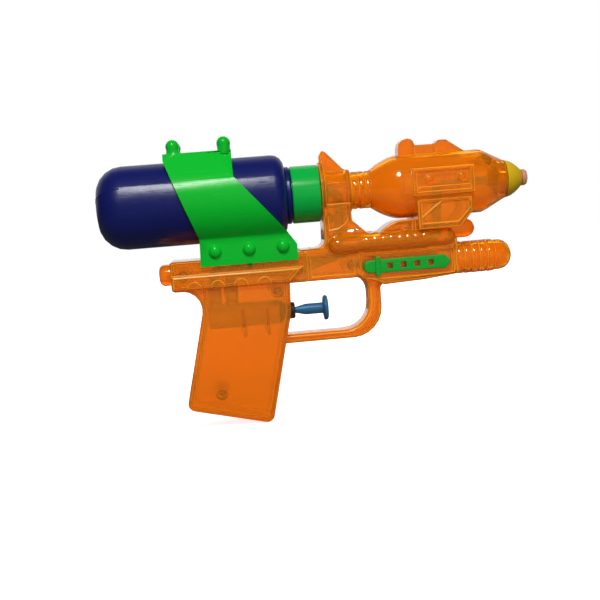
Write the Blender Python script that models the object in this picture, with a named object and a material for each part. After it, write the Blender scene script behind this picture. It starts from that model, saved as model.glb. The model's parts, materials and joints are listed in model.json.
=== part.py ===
import math

import bmesh
import bpy
from mathutils import Matrix, Vector

for old in list(bpy.data.objects):
    bpy.data.objects.remove(old, do_unlink=True)

# Sizes are in millimetres, and MM turns them into Blender's metres.
# u runs along the barrel towards the muzzle and v runs up, both from a point on the barrel's axis.
# y is across. The row's origin is the middle of the grip, where the hand holds it.
MM = 0.001
GRIP_U = -35.0
GRIP_V = -73.0

# Cutting tools reach past the whole part by these lengths, along and across.
FAR = 150.0
ACROSS = 30.0

# Clearances and walls
GAP = 0.3
WALL = 1.6
TURN_STEPS = 24
SMALL_STEPS = 12
PUMP_STEPS = 16

# Tank
TANK_R = 19.1
TANK_REAR = -93.1
TANK_FRONT = -6.9
TANK_REAR_FILLET = 12.0
TANK_FRONT_FILLET = 5.5
TANK_WALL = 1.3
NECK_RING_FRONT = -4.6
NECK_R = 11.1
NECK_FRONT = 4.6

# Collar, with a spigot that the two halves close on
COLLAR_R = 13.2
COLLAR_FLOOR = 2.4
SPIGOT_R = 4.7
SPIGOT_LIP = 0.9
GASKET_THICK = 1.0
GASKET_HOLE_R = 6.0

# Hoses and the barbs they sit on
BARB_R = 1.4
COLLAR_BARB_LONG = 2.0
BORE_R = 0.7
HOSE_R = 2.3
HOSE_SIDES = 8

# Barrel: bulkhead, housing, ribbed neck and bulb
FLANGE_R = 14.2
FLANGE_THICK = 2.1
HOUSING_R = 10.0
HOUSING_FRONT = 23.3
NECK_RIBS = 3
NECK_RIB_PITCH = 3.2
RIB_PROUD = 0.6
BULB_NECK_R = 8.1
BULB_R = 14.8
BULB_REAR = 32.4
BULB_FULL = 46.0
NOSE_U = 96.2
NOSE_R = 8.9
NOSE_LONG = 11.6
BULB_SHOULDER = NOSE_U - NOSE_LONG
FIN_HALF = 2.4
FIN_TOP = 19.4
POST_HALF = 8.6
POST_FRONT = 22.3
POST_RECESS = 0.6

# Sight on top of the bulb
SIGHT_REAR = 46.5
SIGHT_LUG_LONG = 7.8
SIGHT_TOP = 21.8
SIGHT_BAR_TOP = 18.6
SIGHT_BAR_FRONT = 64.0
SIGHT_BLOCK_TOP = 20.2
SIGHT_BLOCK_LONG = 5.2
SIGHT_FRONT = 78.0
SIGHT_HALF = 3.9

# Panel on each side of the bulb, and the pylon under it
PANEL_REAR = 50.5
PANEL_FRONT = 78.7
PANEL_TOP = 7.6
PANEL_FOOT = -4.9
PANEL_PROUD = 1.2
PANEL_RIM = 1.7
PANEL_RECESS = 0.9
PANEL_STEP_V = -1.0
PANEL_RIVET_R = 2.3
PANEL_RIVETS = (57.9, 73.0)
PYLON_HALF = 13.9
PYLON_REAR = 52.0
PYLON_FRONT = 77.8
PYLON_TOP = -6.2
PYLON_FOOT = -19.6
PYLON_CORNER = 6.2
PYLON_RIM = 2.0
PYLON_RECESS = 0.7
LUG_R = 4.4
LUG_V = -21.5
LUG_FRONT = 81.1
EAR_HALF = 7.5
EAR_REAR = 35.2
EAR_TOP = -15.2
EAR_RIM = 1.5
EAR_RECESS = 0.8

# Nozzle
CAP_LONG = 8.4
CAP_FRONT = NOSE_U + CAP_LONG
CAP_SPIGOT_R = 7.0
CAP_SPIGOT_LONG = 4.0
JET_R = 3.0
JET_TIP_R = 3.8
JET_TIP_LONG = 2.8
JET_FRONT = CAP_FRONT + JET_TIP_LONG
JET_REACH = 12.2
JET_BARB_REAR = NOSE_U - JET_REACH

# Receiver and slide block
RAIL_HALF = 11.0
RAIL_FRONT = 0.0
RAIL_TOP = -26.0
RECEIVER_HALF = 9.4
RECEIVER_RECESS = 0.5
RECEIVER_REAR = -62.5
RECEIVER_TOP = -25.2
RECEIVER_BOTTOM = -39.9
SLIDE_HALF = 13.4
SLIDE_TOP = -32.5
SLIDE_BOTTOM = -39.4
PLUG_R = 5.0
PLUG_V = -32.3
PLUG_REAR = -68.0
PLUG_FILLET = 2.4
ARCH_COUNT = 4
ARCH_FIRST = -52.0
ARCH_PITCH = 10.6
ARCH_R = 3.2
ARCH_WIDE = 0.9
ARCH_PROUD = 0.5

# Fore-end, side tubes, lower barrel
FORE_REAR = 24.6
FORE_FRONT = 70.6
FORE_HALF = 10.2
FORE_FRONT_FOOT = -41.9
FORE_MIDDLE_U = 54.0
FORE_MIDDLE_FOOT = -43.5
FORE_REAR_FOOT = -44.3
SIDE_TUBE_V = -24.4
SIDE_TUBE_R = 4.3
SIDE_TUBE_Y = 8.4
SIDE_TUBE_REAR = 10.2
SIDE_TUBE_FRONT = 69.9
SIDE_RING_COUNT = 8
SIDE_RING_FIRST = 28.6
SIDE_RING_PITCH = 3.83
SIDE_RING_PROUD = 0.5
LOWER_R = 7.7
LOWER_V = -35.3
LOWER_FRONT = 97.6
LOWER_RIBS = 5
LOWER_RIB_FIRST = 72.6
LOWER_RIB_PITCH = 3.65
LOWER_RIB_PROUD = 0.5
LOWER_DOME = 6.2

# Grip and trigger guard
GRIP_HALF = 10.7
GRIP_RAKE = math.radians(13.9)
GRIP_FRONT = -8.8
GRIP_BEND_V = -53.6
GRIP_BACK = -46.9
BUTT_FRONT_U = -21.3
BUTT_FRONT_V = -104.3
GUARD_HALF = 6.0
GUARD_FRONT = 33.9
GUARD_BOTTOM = -68.4
GUARD_THICK = 5.9
GUARD_FLOOR = 4.2

# Saddle over the tank
SADDLE_WALL = 1.7
SADDLE_REAR = -61.2
SADDLE_STEP_U = -30.4
SADDLE_ROOF = 22.6
SADDLE_REAR_EDGE = 3.2
SADDLE_CREASE = 0.4
SADDLE_PLEAT = 0.25
SADDLE_PLEATS = [(11.0, 12.6), (6.7, 10.4), (3.6, 9.2)]
SADDLE_TAB_U = -26.0
SADDLE_SLOPE = math.radians(36)
SADDLE_PLATE_FOOT = -29.2
SADDLE_PLATE_REAR = -48.4
SADDLE_PLATE_FRONT = -4.0
RIVET_R = 3.0
RIVET_V = -22.6
RIVET_FIRST = -41.3
RIVET_PITCH = 15.4
STUD_R = 3.15
STUD_V = 25.7
STUD_Y = 7.6
STUD_ROOT = 1.6
STUD_REAR = -56.5
STUD_FRONT = -33.5

# Trim bar
TRIM_REAR = 25.9
TRIM_FRONT = 66.8
TRIM_V = -35.6
TRIM_HALF = 3.15
TRIM_THICK = 2.4
TRIM_RING_U = 31.2
TRIM_RING_WIDE = 2.3
TRIM_RING_HALF = 4.7
TRIM_HOLE = 2.7
TRIM_HOLE_FIRST = 38.0
TRIM_HOLE_PITCH = 6.37
RECESS_DEEP = 1.5

# Pump and trigger
PUMP_V = -53.6
PUMP_R = 5.6
PUMP_BORE_R = 4.3
GLAND_FLANGE = 1.5
PUMP_REAR = -47.0
GLAND_NOSE_R = 3.9
GLAND_FRONT = -6.6
SHAFT_R = 2.6
ROD_R = 1.4
DISC_R = 5.9
DISC_THICK = 2.0
DISC_FRONT = 8.9
SHAFT_LONG = 8.5
TAPER_LONG = 5.0
PISTON_LONG = 4.0
GROOVE_LONG = 2.2
GROOVE_R = 2.3
SEAL_R = 0.75
SPRING_R = 3.2
SPRING_WIRE = 0.4
SPRING_TURNS = 8

# Valves on top of the pump
OUTLET_U = -43.4
INLET_U = -35.6
VALVE_R = 3.2
VALVE_FOOT = -47.0
VALVE_FLOOR = 1.2
VALVE_CHAMBER_R = 2.1
VALVE_CHAMBER_LONG = 4.6
VALVE_BARB_LONG = 3.0
BALL_R = 1.6
BALL_CLEAR = 0.1

# Ribs inside: cradles under the pump, and webs in the housing as (v, distance from the middle)
RIB_THICK = 1.4
CRADLE_RIBS = (-20.0, -31.0)
WEBS = ((2.6, 5.6), (-6.2, 4.9))

# Screw bosses, as (u, v)
NOSE_BOSS_BACK = 9.8
BOSSES = (
    (NOSE_U - NOSE_BOSS_BACK, 8.6),
    (11.6, -12.1),
    (21.0, -34.4),
    (-14.3, -43.6),
    (-56.8, -33.0),
    (-44.0, -89.0),
)
BOSS_R = 2.6
COUNTER_BOSS_R = 3.7
SCREW_HEAD_R = 2.1
SCREW_HEAD_LONG = 1.6
SCREW_R = 1.0
SCREW_SEAT = 4.4
SCREW_LONG = 9.0


# Helpers for outlines

def place(u, y, v):
    return Vector(((u - GRIP_U) * MM, y * MM, (v - GRIP_V) * MM))


def fillet(corners, steps=4):
    """Rounds the corners of a closed outline. Each corner is (a, b, radius)."""
    points = []
    count = len(corners)
    for index, (a, b, radius) in enumerate(corners):
        corner = Vector((a, b))
        before = Vector(corners[index - 1][:2]) - corner
        after = Vector(corners[(index + 1) % count][:2]) - corner
        if radius <= 0.0:
            points.append((a, b))
            continue
        before.normalize()
        after.normalize()
        half = before.angle(after) / 2.0
        reach = radius / math.tan(half)
        middle = corner + (before + after).normalized() * (radius / math.sin(half))
        first = corner + before * reach - middle
        last = corner + after * reach - middle
        sweep = first.angle_signed(last)
        for step in range(steps + 1):
            turn = -sweep * step / steps
            point = middle + Matrix.Rotation(turn, 2) @ first
            points.append((point.x, point.y))
    return points


def inset(points, amount):
    """Moves each side of a closed outline inwards by amount."""
    area = 0.0
    count = len(points)
    for index in range(count):
        a, b = points[index], points[(index + 1) % count]
        area += a[0] * b[1] - b[0] * a[1]
    side = 1.0 if area > 0 else -1.0
    moved = []
    for index in range(count):
        corner = Vector(points[index])
        before = (corner - Vector(points[index - 1])).normalized()
        after = (Vector(points[(index + 1) % count]) - corner).normalized()
        normal_before = Vector((-before.y, before.x)) * side
        normal_after = Vector((-after.y, after.x)) * side
        middle = (normal_before + normal_after).normalized()
        moved.append(tuple(corner + middle * (amount / middle.dot(normal_before))))
    return moved


def arc(radius, start, end, steps):
    turns = [start + (end - start) * step / steps for step in range(steps + 1)]
    return [(radius * math.cos(turn), radius * math.sin(turn)) for turn in turns]


# Helpers for solids

def finish(name, bm):
    bmesh.ops.remove_doubles(bm, verts=bm.verts, dist=0.00001)
    bmesh.ops.recalc_face_normals(bm, faces=bm.faces)
    mesh = bpy.data.meshes.new(name)
    bm.to_mesh(mesh)
    bm.free()
    obj = bpy.data.objects.new(name, mesh)
    bpy.context.scene.collection.objects.link(obj)
    return obj


def bevel(bm, edges, round_by, segments):
    bmesh.ops.bevel(
        bm,
        geom=edges,
        offset=round_by * MM,
        segments=segments,
        profile=0.5,
        affect="EDGES",
        clamp_overlap=True,
    )


def extrude(name, ring, shift, round_by=0.0, segments=2):
    """A closed ring of points pushed along shift. The edges of both end faces may be rounded."""
    bm = bmesh.new()
    face = bm.faces.new([bm.verts.new(point) for point in ring])
    pushed = bmesh.ops.extrude_face_region(bm, geom=[face])
    far = [item for item in pushed["geom"] if isinstance(item, bmesh.types.BMVert)]
    bmesh.ops.translate(bm, verts=far, vec=shift)
    if round_by > 0.0:
        along = shift.normalized()
        edges = [e for e in bm.edges if abs((e.verts[0].co - e.verts[1].co).normalized().dot(along)) < 0.5]
        bevel(bm, edges, round_by, segments)
    return finish(name, bm)


def plate(name, outline, low_y, high_y, round_by=0.0, segments=2):
    """A side outline of (u, v) points, as a solid from low_y to high_y."""
    ring = [place(u, low_y, v) for u, v in outline]
    return extrude(name, ring, Vector((0.0, (high_y - low_y) * MM, 0.0)), round_by, segments)


def slab(name, outline, half, round_by=0.0, segments=2):
    return plate(name, outline, -half, half, round_by, segments)


def box(name, low, high, round_by=0.0, segments=2):
    outline = [(low[0], low[2]), (high[0], low[2]), (high[0], high[2]), (low[0], high[2])]
    solid = plate(name, outline, low[1], high[1])
    if round_by > 0.0:
        bm = bmesh.new()
        bm.from_mesh(solid.data)
        bevel(bm, bm.edges[:], round_by, segments)
        bm.to_mesh(solid.data)
        bm.free()
    return solid


def beam(name, section, low_u, high_u):
    """A cross section of (y, v) points, as a solid from low_u to high_u."""
    ring = [place(low_u, y, v) for y, v in section]
    return extrude(name, ring, Vector(((high_u - low_u) * MM, 0.0, 0.0)))


def spin(name, points, centre, axis, steps):
    bm = bmesh.new()
    verts = [bm.verts.new(point) for point in points]
    edges = [bm.edges.new((verts[i - 1], verts[i])) for i in range(len(verts))]
    bmesh.ops.spin(
        bm,
        geom=verts + edges,
        cent=centre,
        axis=axis,
        dvec=(0, 0, 0),
        angle=2 * math.pi,
        steps=steps,
        use_merge=True,
    )
    bmesh.ops.remove_doubles(bm, verts=bm.verts, dist=0.00001)
    bmesh.ops.dissolve_degenerate(bm, edges=bm.edges, dist=0.00001)
    return finish(name, bm)


def turned(name, profile, axis_v=0.0, steps=TURN_STEPS, axis_y=0.0):
    """A closed profile of (u, radius) points turned about a line along the gun."""
    points = [place(u, axis_y, axis_v + radius) for u, radius in profile]
    return spin(name, points, place(0.0, axis_y, axis_v), (1, 0, 0), steps)


def rod(low_u, high_u, radius):
    """The profile of a plain rod."""
    return [(low_u, 0.0), (low_u, radius), (high_u, radius), (high_u, 0.0)]


def upright(name, profile, u, y=0.0, steps=SMALL_STEPS):
    """A closed profile of (v, radius) points turned about an upright line."""
    points = [place(u + radius, y, v) for v, radius in profile]
    return spin(name, points, place(u, y, 0.0), (0, 0, 1), steps)


def crosswise(name, profile, u, v, steps=SMALL_STEPS):
    """A closed profile of (y, radius) points turned about a line across the gun."""
    points = [place(u, y, v + radius) for y, radius in profile]
    return spin(name, points, place(u, 0.0, v), (0, 1, 0), steps)


def peg(name, u, v, radius, low_y, high_y, steps=SMALL_STEPS):
    return crosswise(name, rod(low_y, high_y, radius), u, v, steps)


def ball(name, u, y, v, radius, flat=1.0, rings=8):
    bm = bmesh.new()
    bmesh.ops.create_uvsphere(bm, u_segments=2 * rings, v_segments=rings, radius=radius * MM)
    bmesh.ops.scale(bm, verts=bm.verts, vec=(1.0, flat, 1.0))
    bmesh.ops.translate(bm, verts=bm.verts, vec=place(u, y, v))
    return finish(name, bm)


def on_side(side, near, far):
    """The two y values of a detail on one side, the lower one first."""
    return sorted((side * near, side * far))


def is_closed(mesh):
    bm = bmesh.new()
    bm.from_mesh(mesh)
    closed = all(len(edge.link_faces) == 2 for edge in bm.edges)
    bm.free()
    return closed


def merge_close(mesh):
    """Merges points that a Boolean leaves within a thousandth of a millimetre of each other."""
    bm = bmesh.new()
    bm.from_mesh(mesh)
    bmesh.ops.remove_doubles(bm, verts=bm.verts, dist=0.001 * MM)
    if all(len(edge.link_faces) == 2 for edge in bm.edges):
        bm.to_mesh(mesh)
    bm.free()


def combine(solid, others, operation):
    """Joins or cuts with the exact solver, and with the manifold solver where that leaves open edges."""
    for other in others:
        modifier = solid.modifiers.new("combine", "BOOLEAN")
        modifier.operation = operation
        modifier.object = other
        for solver in ("EXACT", "MANIFOLD"):
            modifier.solver = solver
            graph = bpy.context.evaluated_depsgraph_get()
            mesh = bpy.data.meshes.new_from_object(solid.evaluated_get(graph))
            merge_close(mesh)
            if is_closed(mesh):
                break
        solid.modifiers.clear()
        before = solid.data
        solid.data = mesh
        mesh.name = solid.name
        bpy.data.meshes.remove(before)
        bpy.data.objects.remove(other, do_unlink=True)
    return solid


def unite(solid, *others):
    return combine(solid, others, "UNION")


def carve(solid, *others):
    return combine(solid, others, "DIFFERENCE")


def keep_inside(solid, *others):
    return combine(solid, others, "INTERSECT")


def twin(solid, name):
    copy = bpy.data.objects.new(name, solid.data.copy())
    bpy.context.scene.collection.objects.link(copy)
    return copy


def mirrored(solid, name):
    copy = twin(solid, name)
    copy.data.transform(Matrix.Scale(-1.0, 4, (0.0, 1.0, 0.0)))
    copy.data.flip_normals()
    return copy


def rounded_path(corners, radius):
    """A path of straight runs, with an arc at each inner corner."""
    points = [Vector(corners[0])]
    last = len(corners) - 1
    for index in range(1, last):
        corner = Vector(corners[index])
        before = Vector(corners[index - 1]) - corner
        after = Vector(corners[index + 1]) - corner
        half = before.angle(after) / 2.0
        reach = radius / math.tan(half)
        reach = min(reach, before.length * (0.9 if index == 1 else 0.49))
        reach = min(reach, after.length * (0.9 if index == last - 1 else 0.49))
        bend = reach * math.tan(half)
        before.normalize()
        after.normalize()
        middle = corner + (before + after).normalized() * (bend / math.sin(half))
        first = corner + before * reach - middle
        final = corner + after * reach - middle
        steps = max(1, round(first.angle(final) / math.radians(24)))
        for step in range(steps + 1):
            points.append(middle + first.slerp(final, step / steps) * bend)
    points.append(Vector(corners[-1]))
    return points


def hose(name, corners, radius, outer, inner):
    path = [place(*point) for point in rounded_path(corners, radius)]
    bm = bmesh.new()
    rings = []
    side = None
    for index, point in enumerate(path):
        along = (path[min(index + 1, len(path) - 1)] - path[max(index - 1, 0)]).normalized()
        if side is None:
            side = Vector((0.0, 1.0, 0.0))
        side = (side - along * side.dot(along)).normalized()
        other = along.cross(side)
        pair = []
        for tube_r in (outer, inner):
            ring = []
            for step in range(HOSE_SIDES):
                turn = 2 * math.pi * step / HOSE_SIDES
                away = side * math.cos(turn) + other * math.sin(turn)
                ring.append(bm.verts.new(point + away * tube_r * MM))
            pair.append(ring)
        rings.append(pair)
    for near, far in zip(rings, rings[1:]):
        for which in (0, 1):
            for step in range(HOSE_SIDES):
                bm.faces.new(
                    (near[which][step - 1], near[which][step], far[which][step], far[which][step - 1])
                )
    for outside, inside in (rings[0], rings[-1]):
        for step in range(HOSE_SIDES):
            bm.faces.new((outside[step - 1], outside[step], inside[step], inside[step - 1]))
    return finish(name, bm)


def paint(obj, colour, roughness, metallic=0.0, alpha=1.0, smooth=40.0):
    material = bpy.data.materials.new(obj.name)
    material.use_nodes = True
    shader = material.node_tree.nodes["Principled BSDF"]
    shader.inputs["Base Color"].default_value = (*colour, 1.0)
    shader.inputs["Roughness"].default_value = roughness
    shader.inputs["Metallic"].default_value = metallic
    shader.inputs["Alpha"].default_value = alpha
    material.diffuse_color = (*colour, alpha)
    obj.data.materials.clear()
    obj.data.materials.append(material)
    obj.data.polygons.foreach_set("use_smooth", [True] * len(obj.data.polygons))
    obj.data.set_sharp_from_angle(angle=math.radians(smooth))
    return obj


ORANGE = (0.70, 0.17, 0.01)
GREEN = (0.01, 0.42, 0.03)
NAVY = (0.007, 0.012, 0.12)
YELLOW = (0.60, 0.40, 0.01)
BLUE = (0.03, 0.17, 0.37)
BLACK = (0.02, 0.02, 0.022)
CLEAR = (0.75, 0.78, 0.78)
WHITE = (0.75, 0.75, 0.72)
STEEL = (0.55, 0.55, 0.56)


# Tank: a bottle with an open neck

def tank_outline():
    points = [(TANK_REAR, 0.0), (TANK_REAR, TANK_R - TANK_REAR_FILLET)]
    for a, b in arc(TANK_REAR_FILLET, math.pi, math.pi / 2, 5)[1:]:
        points.append((TANK_REAR + TANK_REAR_FILLET + a, TANK_R - TANK_REAR_FILLET + b))
    for a, b in arc(TANK_FRONT_FILLET, math.pi / 2, 0.0, 4):
        points.append((TANK_FRONT - TANK_FRONT_FILLET + a, TANK_R - TANK_FRONT_FILLET + b))
    return points


def tank():
    outside = tank_outline()
    outside += [
        (TANK_FRONT, COLLAR_R - 0.4),
        (TANK_FRONT + 0.5, COLLAR_R),
        (NECK_RING_FRONT - 0.5, COLLAR_R),
        (NECK_RING_FRONT, COLLAR_R - 0.5),
        (NECK_RING_FRONT, NECK_R),
        (NECK_FRONT, NECK_R),
    ]
    inside = []
    for u, radius in tank_outline():
        shrink = (TANK_R - TANK_WALL) / TANK_R
        middle = (TANK_REAR + TANK_FRONT) / 2
        stretch = (TANK_FRONT - TANK_REAR - 2 * TANK_WALL) / (TANK_FRONT - TANK_REAR)
        inside.append((middle + (u - middle) * stretch, radius * shrink))
    neck_bore = NECK_R - TANK_WALL
    inside += [(TANK_FRONT - TANK_WALL, neck_bore), (NECK_FRONT, neck_bore)]
    bottle = turned("tank", outside + inside[::-1])
    return paint(bottle, NAVY, 0.35)


def tank_gasket():
    rear = NECK_FRONT + GAP
    outer = NECK_R - GAP
    profile = [
        (rear, GASKET_HOLE_R),
        (rear, outer),
        (rear + GASKET_THICK, outer),
        (rear + GASKET_THICK, GASKET_HOLE_R),
    ]
    return paint(turned("tank_gasket", profile), BLACK, 0.8)


def tank_collar():
    rear = NECK_RING_FRONT + GAP
    floor = NECK_FRONT + GASKET_THICK + 2 * GAP
    front = floor + COLLAR_FLOOR
    lip = front + GAP + FLANGE_THICK + GAP
    end = lip + 1.0 + COLLAR_BARB_LONG
    bore = NECK_R + GAP
    profile = [
        (rear, bore),
        (rear, COLLAR_R - 0.4),
        (rear + 0.4, COLLAR_R),
        (front - 0.3, COLLAR_R),
        (front, COLLAR_R - 0.3),
        (front, SPIGOT_R),
        (lip, SPIGOT_R),
        (lip, SPIGOT_R + SPIGOT_LIP),
        (lip + 1.0, SPIGOT_R + SPIGOT_LIP - 0.4),
        (lip + 1.0, BARB_R),
        (end, BARB_R),
        (end, BORE_R),
        (floor, BORE_R),
        (floor, bore),
    ]
    return paint(turned("tank_collar", profile), GREEN, 0.25)


COLLAR_END = NECK_FRONT + GASKET_THICK + 2 * GAP + COLLAR_FLOOR
FLANGE_REAR = COLLAR_END + GAP


# Saddle: a hood over the tank with a plate on each side of the receiver

def saddle_section(radius, plate_y, roof, foot):
    """Half of the hood's cross section, from the foot of the plate to the middle of the roof."""
    fold = -math.acos(plate_y / radius)
    points = [(plate_y, foot)]
    points += arc(radius, fold, SADDLE_SLOPE, 10)
    top_y, top_v = points[-1]
    rise = (roof - top_v) / math.cos(SADDLE_SLOPE)
    points.append((top_y - rise * math.sin(SADDLE_SLOPE), roof))
    return points


def saddle_creases():
    """The hood's front corner lies deeper in three pleats: the side outline of each, behind a curved crease."""
    creases = []
    for index, (reach, drop) in enumerate(SADDLE_PLEATS):
        top = SADDLE_ROOF - SADDLE_CREASE - index * SADDLE_PLEAT
        creases.append([
            (SADDLE_STEP_U - reach, top),
            (SADDLE_STEP_U - 0.64 * reach, top - 0.16 * drop),
            (SADDLE_STEP_U - 0.29 * reach, top - 0.49 * drop),
            (SADDLE_STEP_U - 0.09 * reach, top - 0.81 * drop),
            (SADDLE_STEP_U + 1.0, top - drop),
            (SADDLE_STEP_U + 1.0, top),
        ])
    return creases


def saddle():
    inner_r = TANK_R + GAP
    outer_r = inner_r + SADDLE_WALL
    inner_y = RAIL_HALF + GAP
    outer_y = inner_y + SADDLE_WALL
    outside = saddle_section(outer_r, outer_y, SADDLE_ROOF, SADDLE_PLATE_FOOT)
    inside = saddle_section(inner_r, inner_y, SADDLE_ROOF - SADDLE_WALL, SADDLE_PLATE_FOOT)
    ring = outside + [(-y, v) for y, v in reversed(outside)]
    ring += [(-y, v) for y, v in inside] + inside[::-1]
    hood = beam("tank_saddle", ring, SADDLE_REAR - 2.0, SADDLE_PLATE_FRONT + 2.0)
    fold_v = -math.sqrt(outer_r ** 2 - outer_y ** 2)
    outline = fillet(
        [
            (SADDLE_REAR, SADDLE_ROOF + 3.0, 0.0),
            (SADDLE_STEP_U, SADDLE_ROOF + 3.0, 0.0),
            (SADDLE_STEP_U, 10.2, 2.0),
            (SADDLE_PLATE_FRONT - 4.5, fold_v + 1.2, 1.5),
            (SADDLE_PLATE_FRONT, -22.0, 1.0),
            (SADDLE_PLATE_FRONT, SADDLE_PLATE_FOOT - 2.0, 0.0),
            (SADDLE_PLATE_REAR, SADDLE_PLATE_FOOT - 2.0, 0.0),
            (SADDLE_PLATE_REAR + 0.5, fold_v + 0.4, 1.5),
            (SADDLE_REAR, SADDLE_ROOF - SADDLE_REAR_EDGE, 0.8),
        ],
        steps=3,
    )
    keep_inside(hood, slab("outline", outline, ACROSS))
    for side in (-1, 1):
        for index, crease in enumerate(saddle_creases()):
            deep = SADDLE_CREASE + index * SADDLE_PLEAT
            floor = saddle_section(outer_r - deep, outer_y - deep, SADDLE_ROOF - deep, SADDLE_PLATE_FOOT)
            above = saddle_section(outer_r + 2.0, outer_y + 2.0, SADDLE_ROOF - deep, SADDLE_PLATE_FOOT)
            skin = [(side * y, v) for y, v in floor[1:] + above[:0:-1]]
            pleat = beam("pleat", skin, SADDLE_STEP_U - 14.0, SADDLE_STEP_U + 2.0)
            keep_inside(pleat, slab("crease", crease, ACROSS))
            carve(hood, pleat)
        for index in range(3):
            rivet_u = RIVET_FIRST + index * RIVET_PITCH
            unite(hood, ball("rivet", rivet_u, side * outer_y, RIVET_V, RIVET_R, 0.8, 7))
        for stud_u in (STUD_REAR, STUD_FRONT):
            turn = arc(STUD_R, -0.45, math.pi / 2, 5)
            profile = [(SADDLE_ROOF - STUD_ROOT, 0.0), (SADDLE_ROOF - STUD_ROOT, STUD_R)]
            profile += [(STUD_V + rise, radius) for radius, rise in turn[:-1]] + [(STUD_V + STUD_R, 0.0)]
            unite(hood, upright("stud", profile, stud_u, side * STUD_Y, 14))
        tab_y = on_side(side, inner_y + GAP, outer_y - GAP)
        tab_low = (SADDLE_TAB_U - 0.8, tab_y[0], SADDLE_PLATE_FOOT - 1.1)
        unite(hood, box("tab", tab_low, (SADDLE_TAB_U + 0.8, tab_y[1], SADDLE_PLATE_FOOT + 1.0)))
    return paint(hood, GREEN, 0.25)


# Body: outer form, hollow, bosses and ribs, then the two halves

def barrel_profile():
    front = FLANGE_REAR + FLANGE_THICK
    points = [(FLANGE_REAR, 0.0), (FLANGE_REAR, FLANGE_R), (front, FLANGE_R), (front, HOUSING_R)]
    points += [(HOUSING_FRONT, HOUSING_R), (HOUSING_FRONT + 0.3, BULB_NECK_R)]
    for index in range(NECK_RIBS):
        middle = HOUSING_FRONT + 1.9 + index * NECK_RIB_PITCH
        points += [
            (middle - 1.0, BULB_NECK_R),
            (middle - 0.4, BULB_NECK_R + RIB_PROUD),
            (middle + 0.4, BULB_NECK_R + RIB_PROUD),
            (middle + 1.0, BULB_NECK_R),
        ]
    points += bulb_profile(0.0)
    points.append((NOSE_U, 0.0))
    return points


def bulb_profile(inwards):
    """The bulb's outline from its neck to its nose, moved inwards by the wall."""
    start = BULB_NECK_R + RIB_PROUD
    points = []
    for part in (0.0, 0.22, 0.44, 0.66, 0.85, 1.0):
        rise = 1.0 - (1.0 - part) ** 1.6
        u = BULB_REAR + (BULB_FULL - BULB_REAR) * part
        points.append((u, start + (BULB_R - start) * rise - inwards))
    points += [
        (BULB_SHOULDER, BULB_R - inwards),
        (BULB_SHOULDER + 2.0, BULB_R - 0.8 - inwards),
        (BULB_SHOULDER + 6.8, BULB_R - 3.4 - inwards),
        (NOSE_U, NOSE_R - inwards),
    ]
    return points


def grip_outline():
    lean = math.tan(GRIP_RAKE)
    butt_rear_u = GRIP_BACK - (BUTT_FRONT_V + 9.7 - RECEIVER_BOTTOM) * -lean
    butt_rear_v = BUTT_FRONT_V + (BUTT_FRONT_U - butt_rear_u) * lean
    return [
        (GRIP_BACK - 12.5, RECEIVER_BOTTOM + 3.0, 0.0),
        (GRIP_BACK - 12.5, RECEIVER_BOTTOM + 0.1, 0.0),
        (GRIP_BACK, RECEIVER_BOTTOM + 0.1, 9.0),
        (butt_rear_u, butt_rear_v, 3.5),
        (BUTT_FRONT_U, BUTT_FRONT_V, 3.5),
        (GRIP_FRONT - 0.2, GRIP_BEND_V, 0.0),
        (GRIP_FRONT + 0.4, RECEIVER_BOTTOM + 3.0, 0.0),
    ]


def guard_outline():
    inner = GUARD_FRONT - GUARD_THICK
    rise = GUARD_BOTTOM + GUARD_FLOOR
    return fillet(
        [
            (GUARD_FRONT + 2.0, RECEIVER_BOTTOM + 2.5, 0.0),
            (GUARD_FRONT + 2.0, RECEIVER_BOTTOM - 3.6, 0.0),
            (GUARD_FRONT, RECEIVER_BOTTOM - 5.6, 1.5),
            (GUARD_FRONT, GUARD_BOTTOM, 14.0),
            (GRIP_FRONT - 9.0, GUARD_BOTTOM, 0.0),
            (GRIP_FRONT - 9.0, rise, 0.0),
            (inner, rise, 12.0),
            (inner, RECEIVER_BOTTOM + 0.1, 7.2),
            (inner - 9.0, RECEIVER_BOTTOM + 0.1, 0.0),
            (inner - 9.0, RECEIVER_BOTTOM + 2.5, 0.0),
        ],
        steps=6,
    )


def capsule(low_u, high_u, radius, between=()):
    """The profile of a rod with round ends, and any points between them."""
    points = [(low_u + radius + a, b) for a, b in arc(radius, math.pi, math.pi / 2, 4)]
    points += between
    points += [(high_u - radius + a, b) for a, b in arc(radius, math.pi / 2, 0.0, 4)]
    return points


def side_tube_profile():
    rings = []
    for index in range(SIDE_RING_COUNT):
        middle = SIDE_RING_FIRST + index * SIDE_RING_PITCH
        rings += [
            (middle - 0.9, SIDE_TUBE_R),
            (middle - 0.4, SIDE_TUBE_R + SIDE_RING_PROUD),
            (middle + 0.4, SIDE_TUBE_R + SIDE_RING_PROUD),
            (middle + 0.9, SIDE_TUBE_R),
        ]
    return capsule(SIDE_TUBE_REAR, SIDE_TUBE_FRONT, SIDE_TUBE_R, rings)


def pylon_outline():
    return [
        (PYLON_REAR, PYLON_TOP),
        (PYLON_FRONT, PYLON_TOP),
        (PYLON_FRONT, PYLON_FOOT + PYLON_CORNER),
        (PYLON_FRONT - PYLON_CORNER, PYLON_FOOT),
        (PYLON_REAR, PYLON_FOOT),
    ]


def ear_outline():
    foot = SIDE_TUBE_V + SIDE_TUBE_R - 0.6
    return [
        (EAR_REAR, foot),
        (EAR_REAR + 0.6, EAR_TOP - 4.3),
        (EAR_REAR + 2.7, EAR_TOP - 2.7),
        (EAR_REAR + 5.2, EAR_TOP - 1.2),
        (EAR_REAR + 7.9, EAR_TOP - 0.3),
        (EAR_REAR + 10.5, EAR_TOP),
        (PYLON_REAR + 1.0, EAR_TOP),
        (PYLON_REAR + 1.0, foot),
    ]


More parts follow.
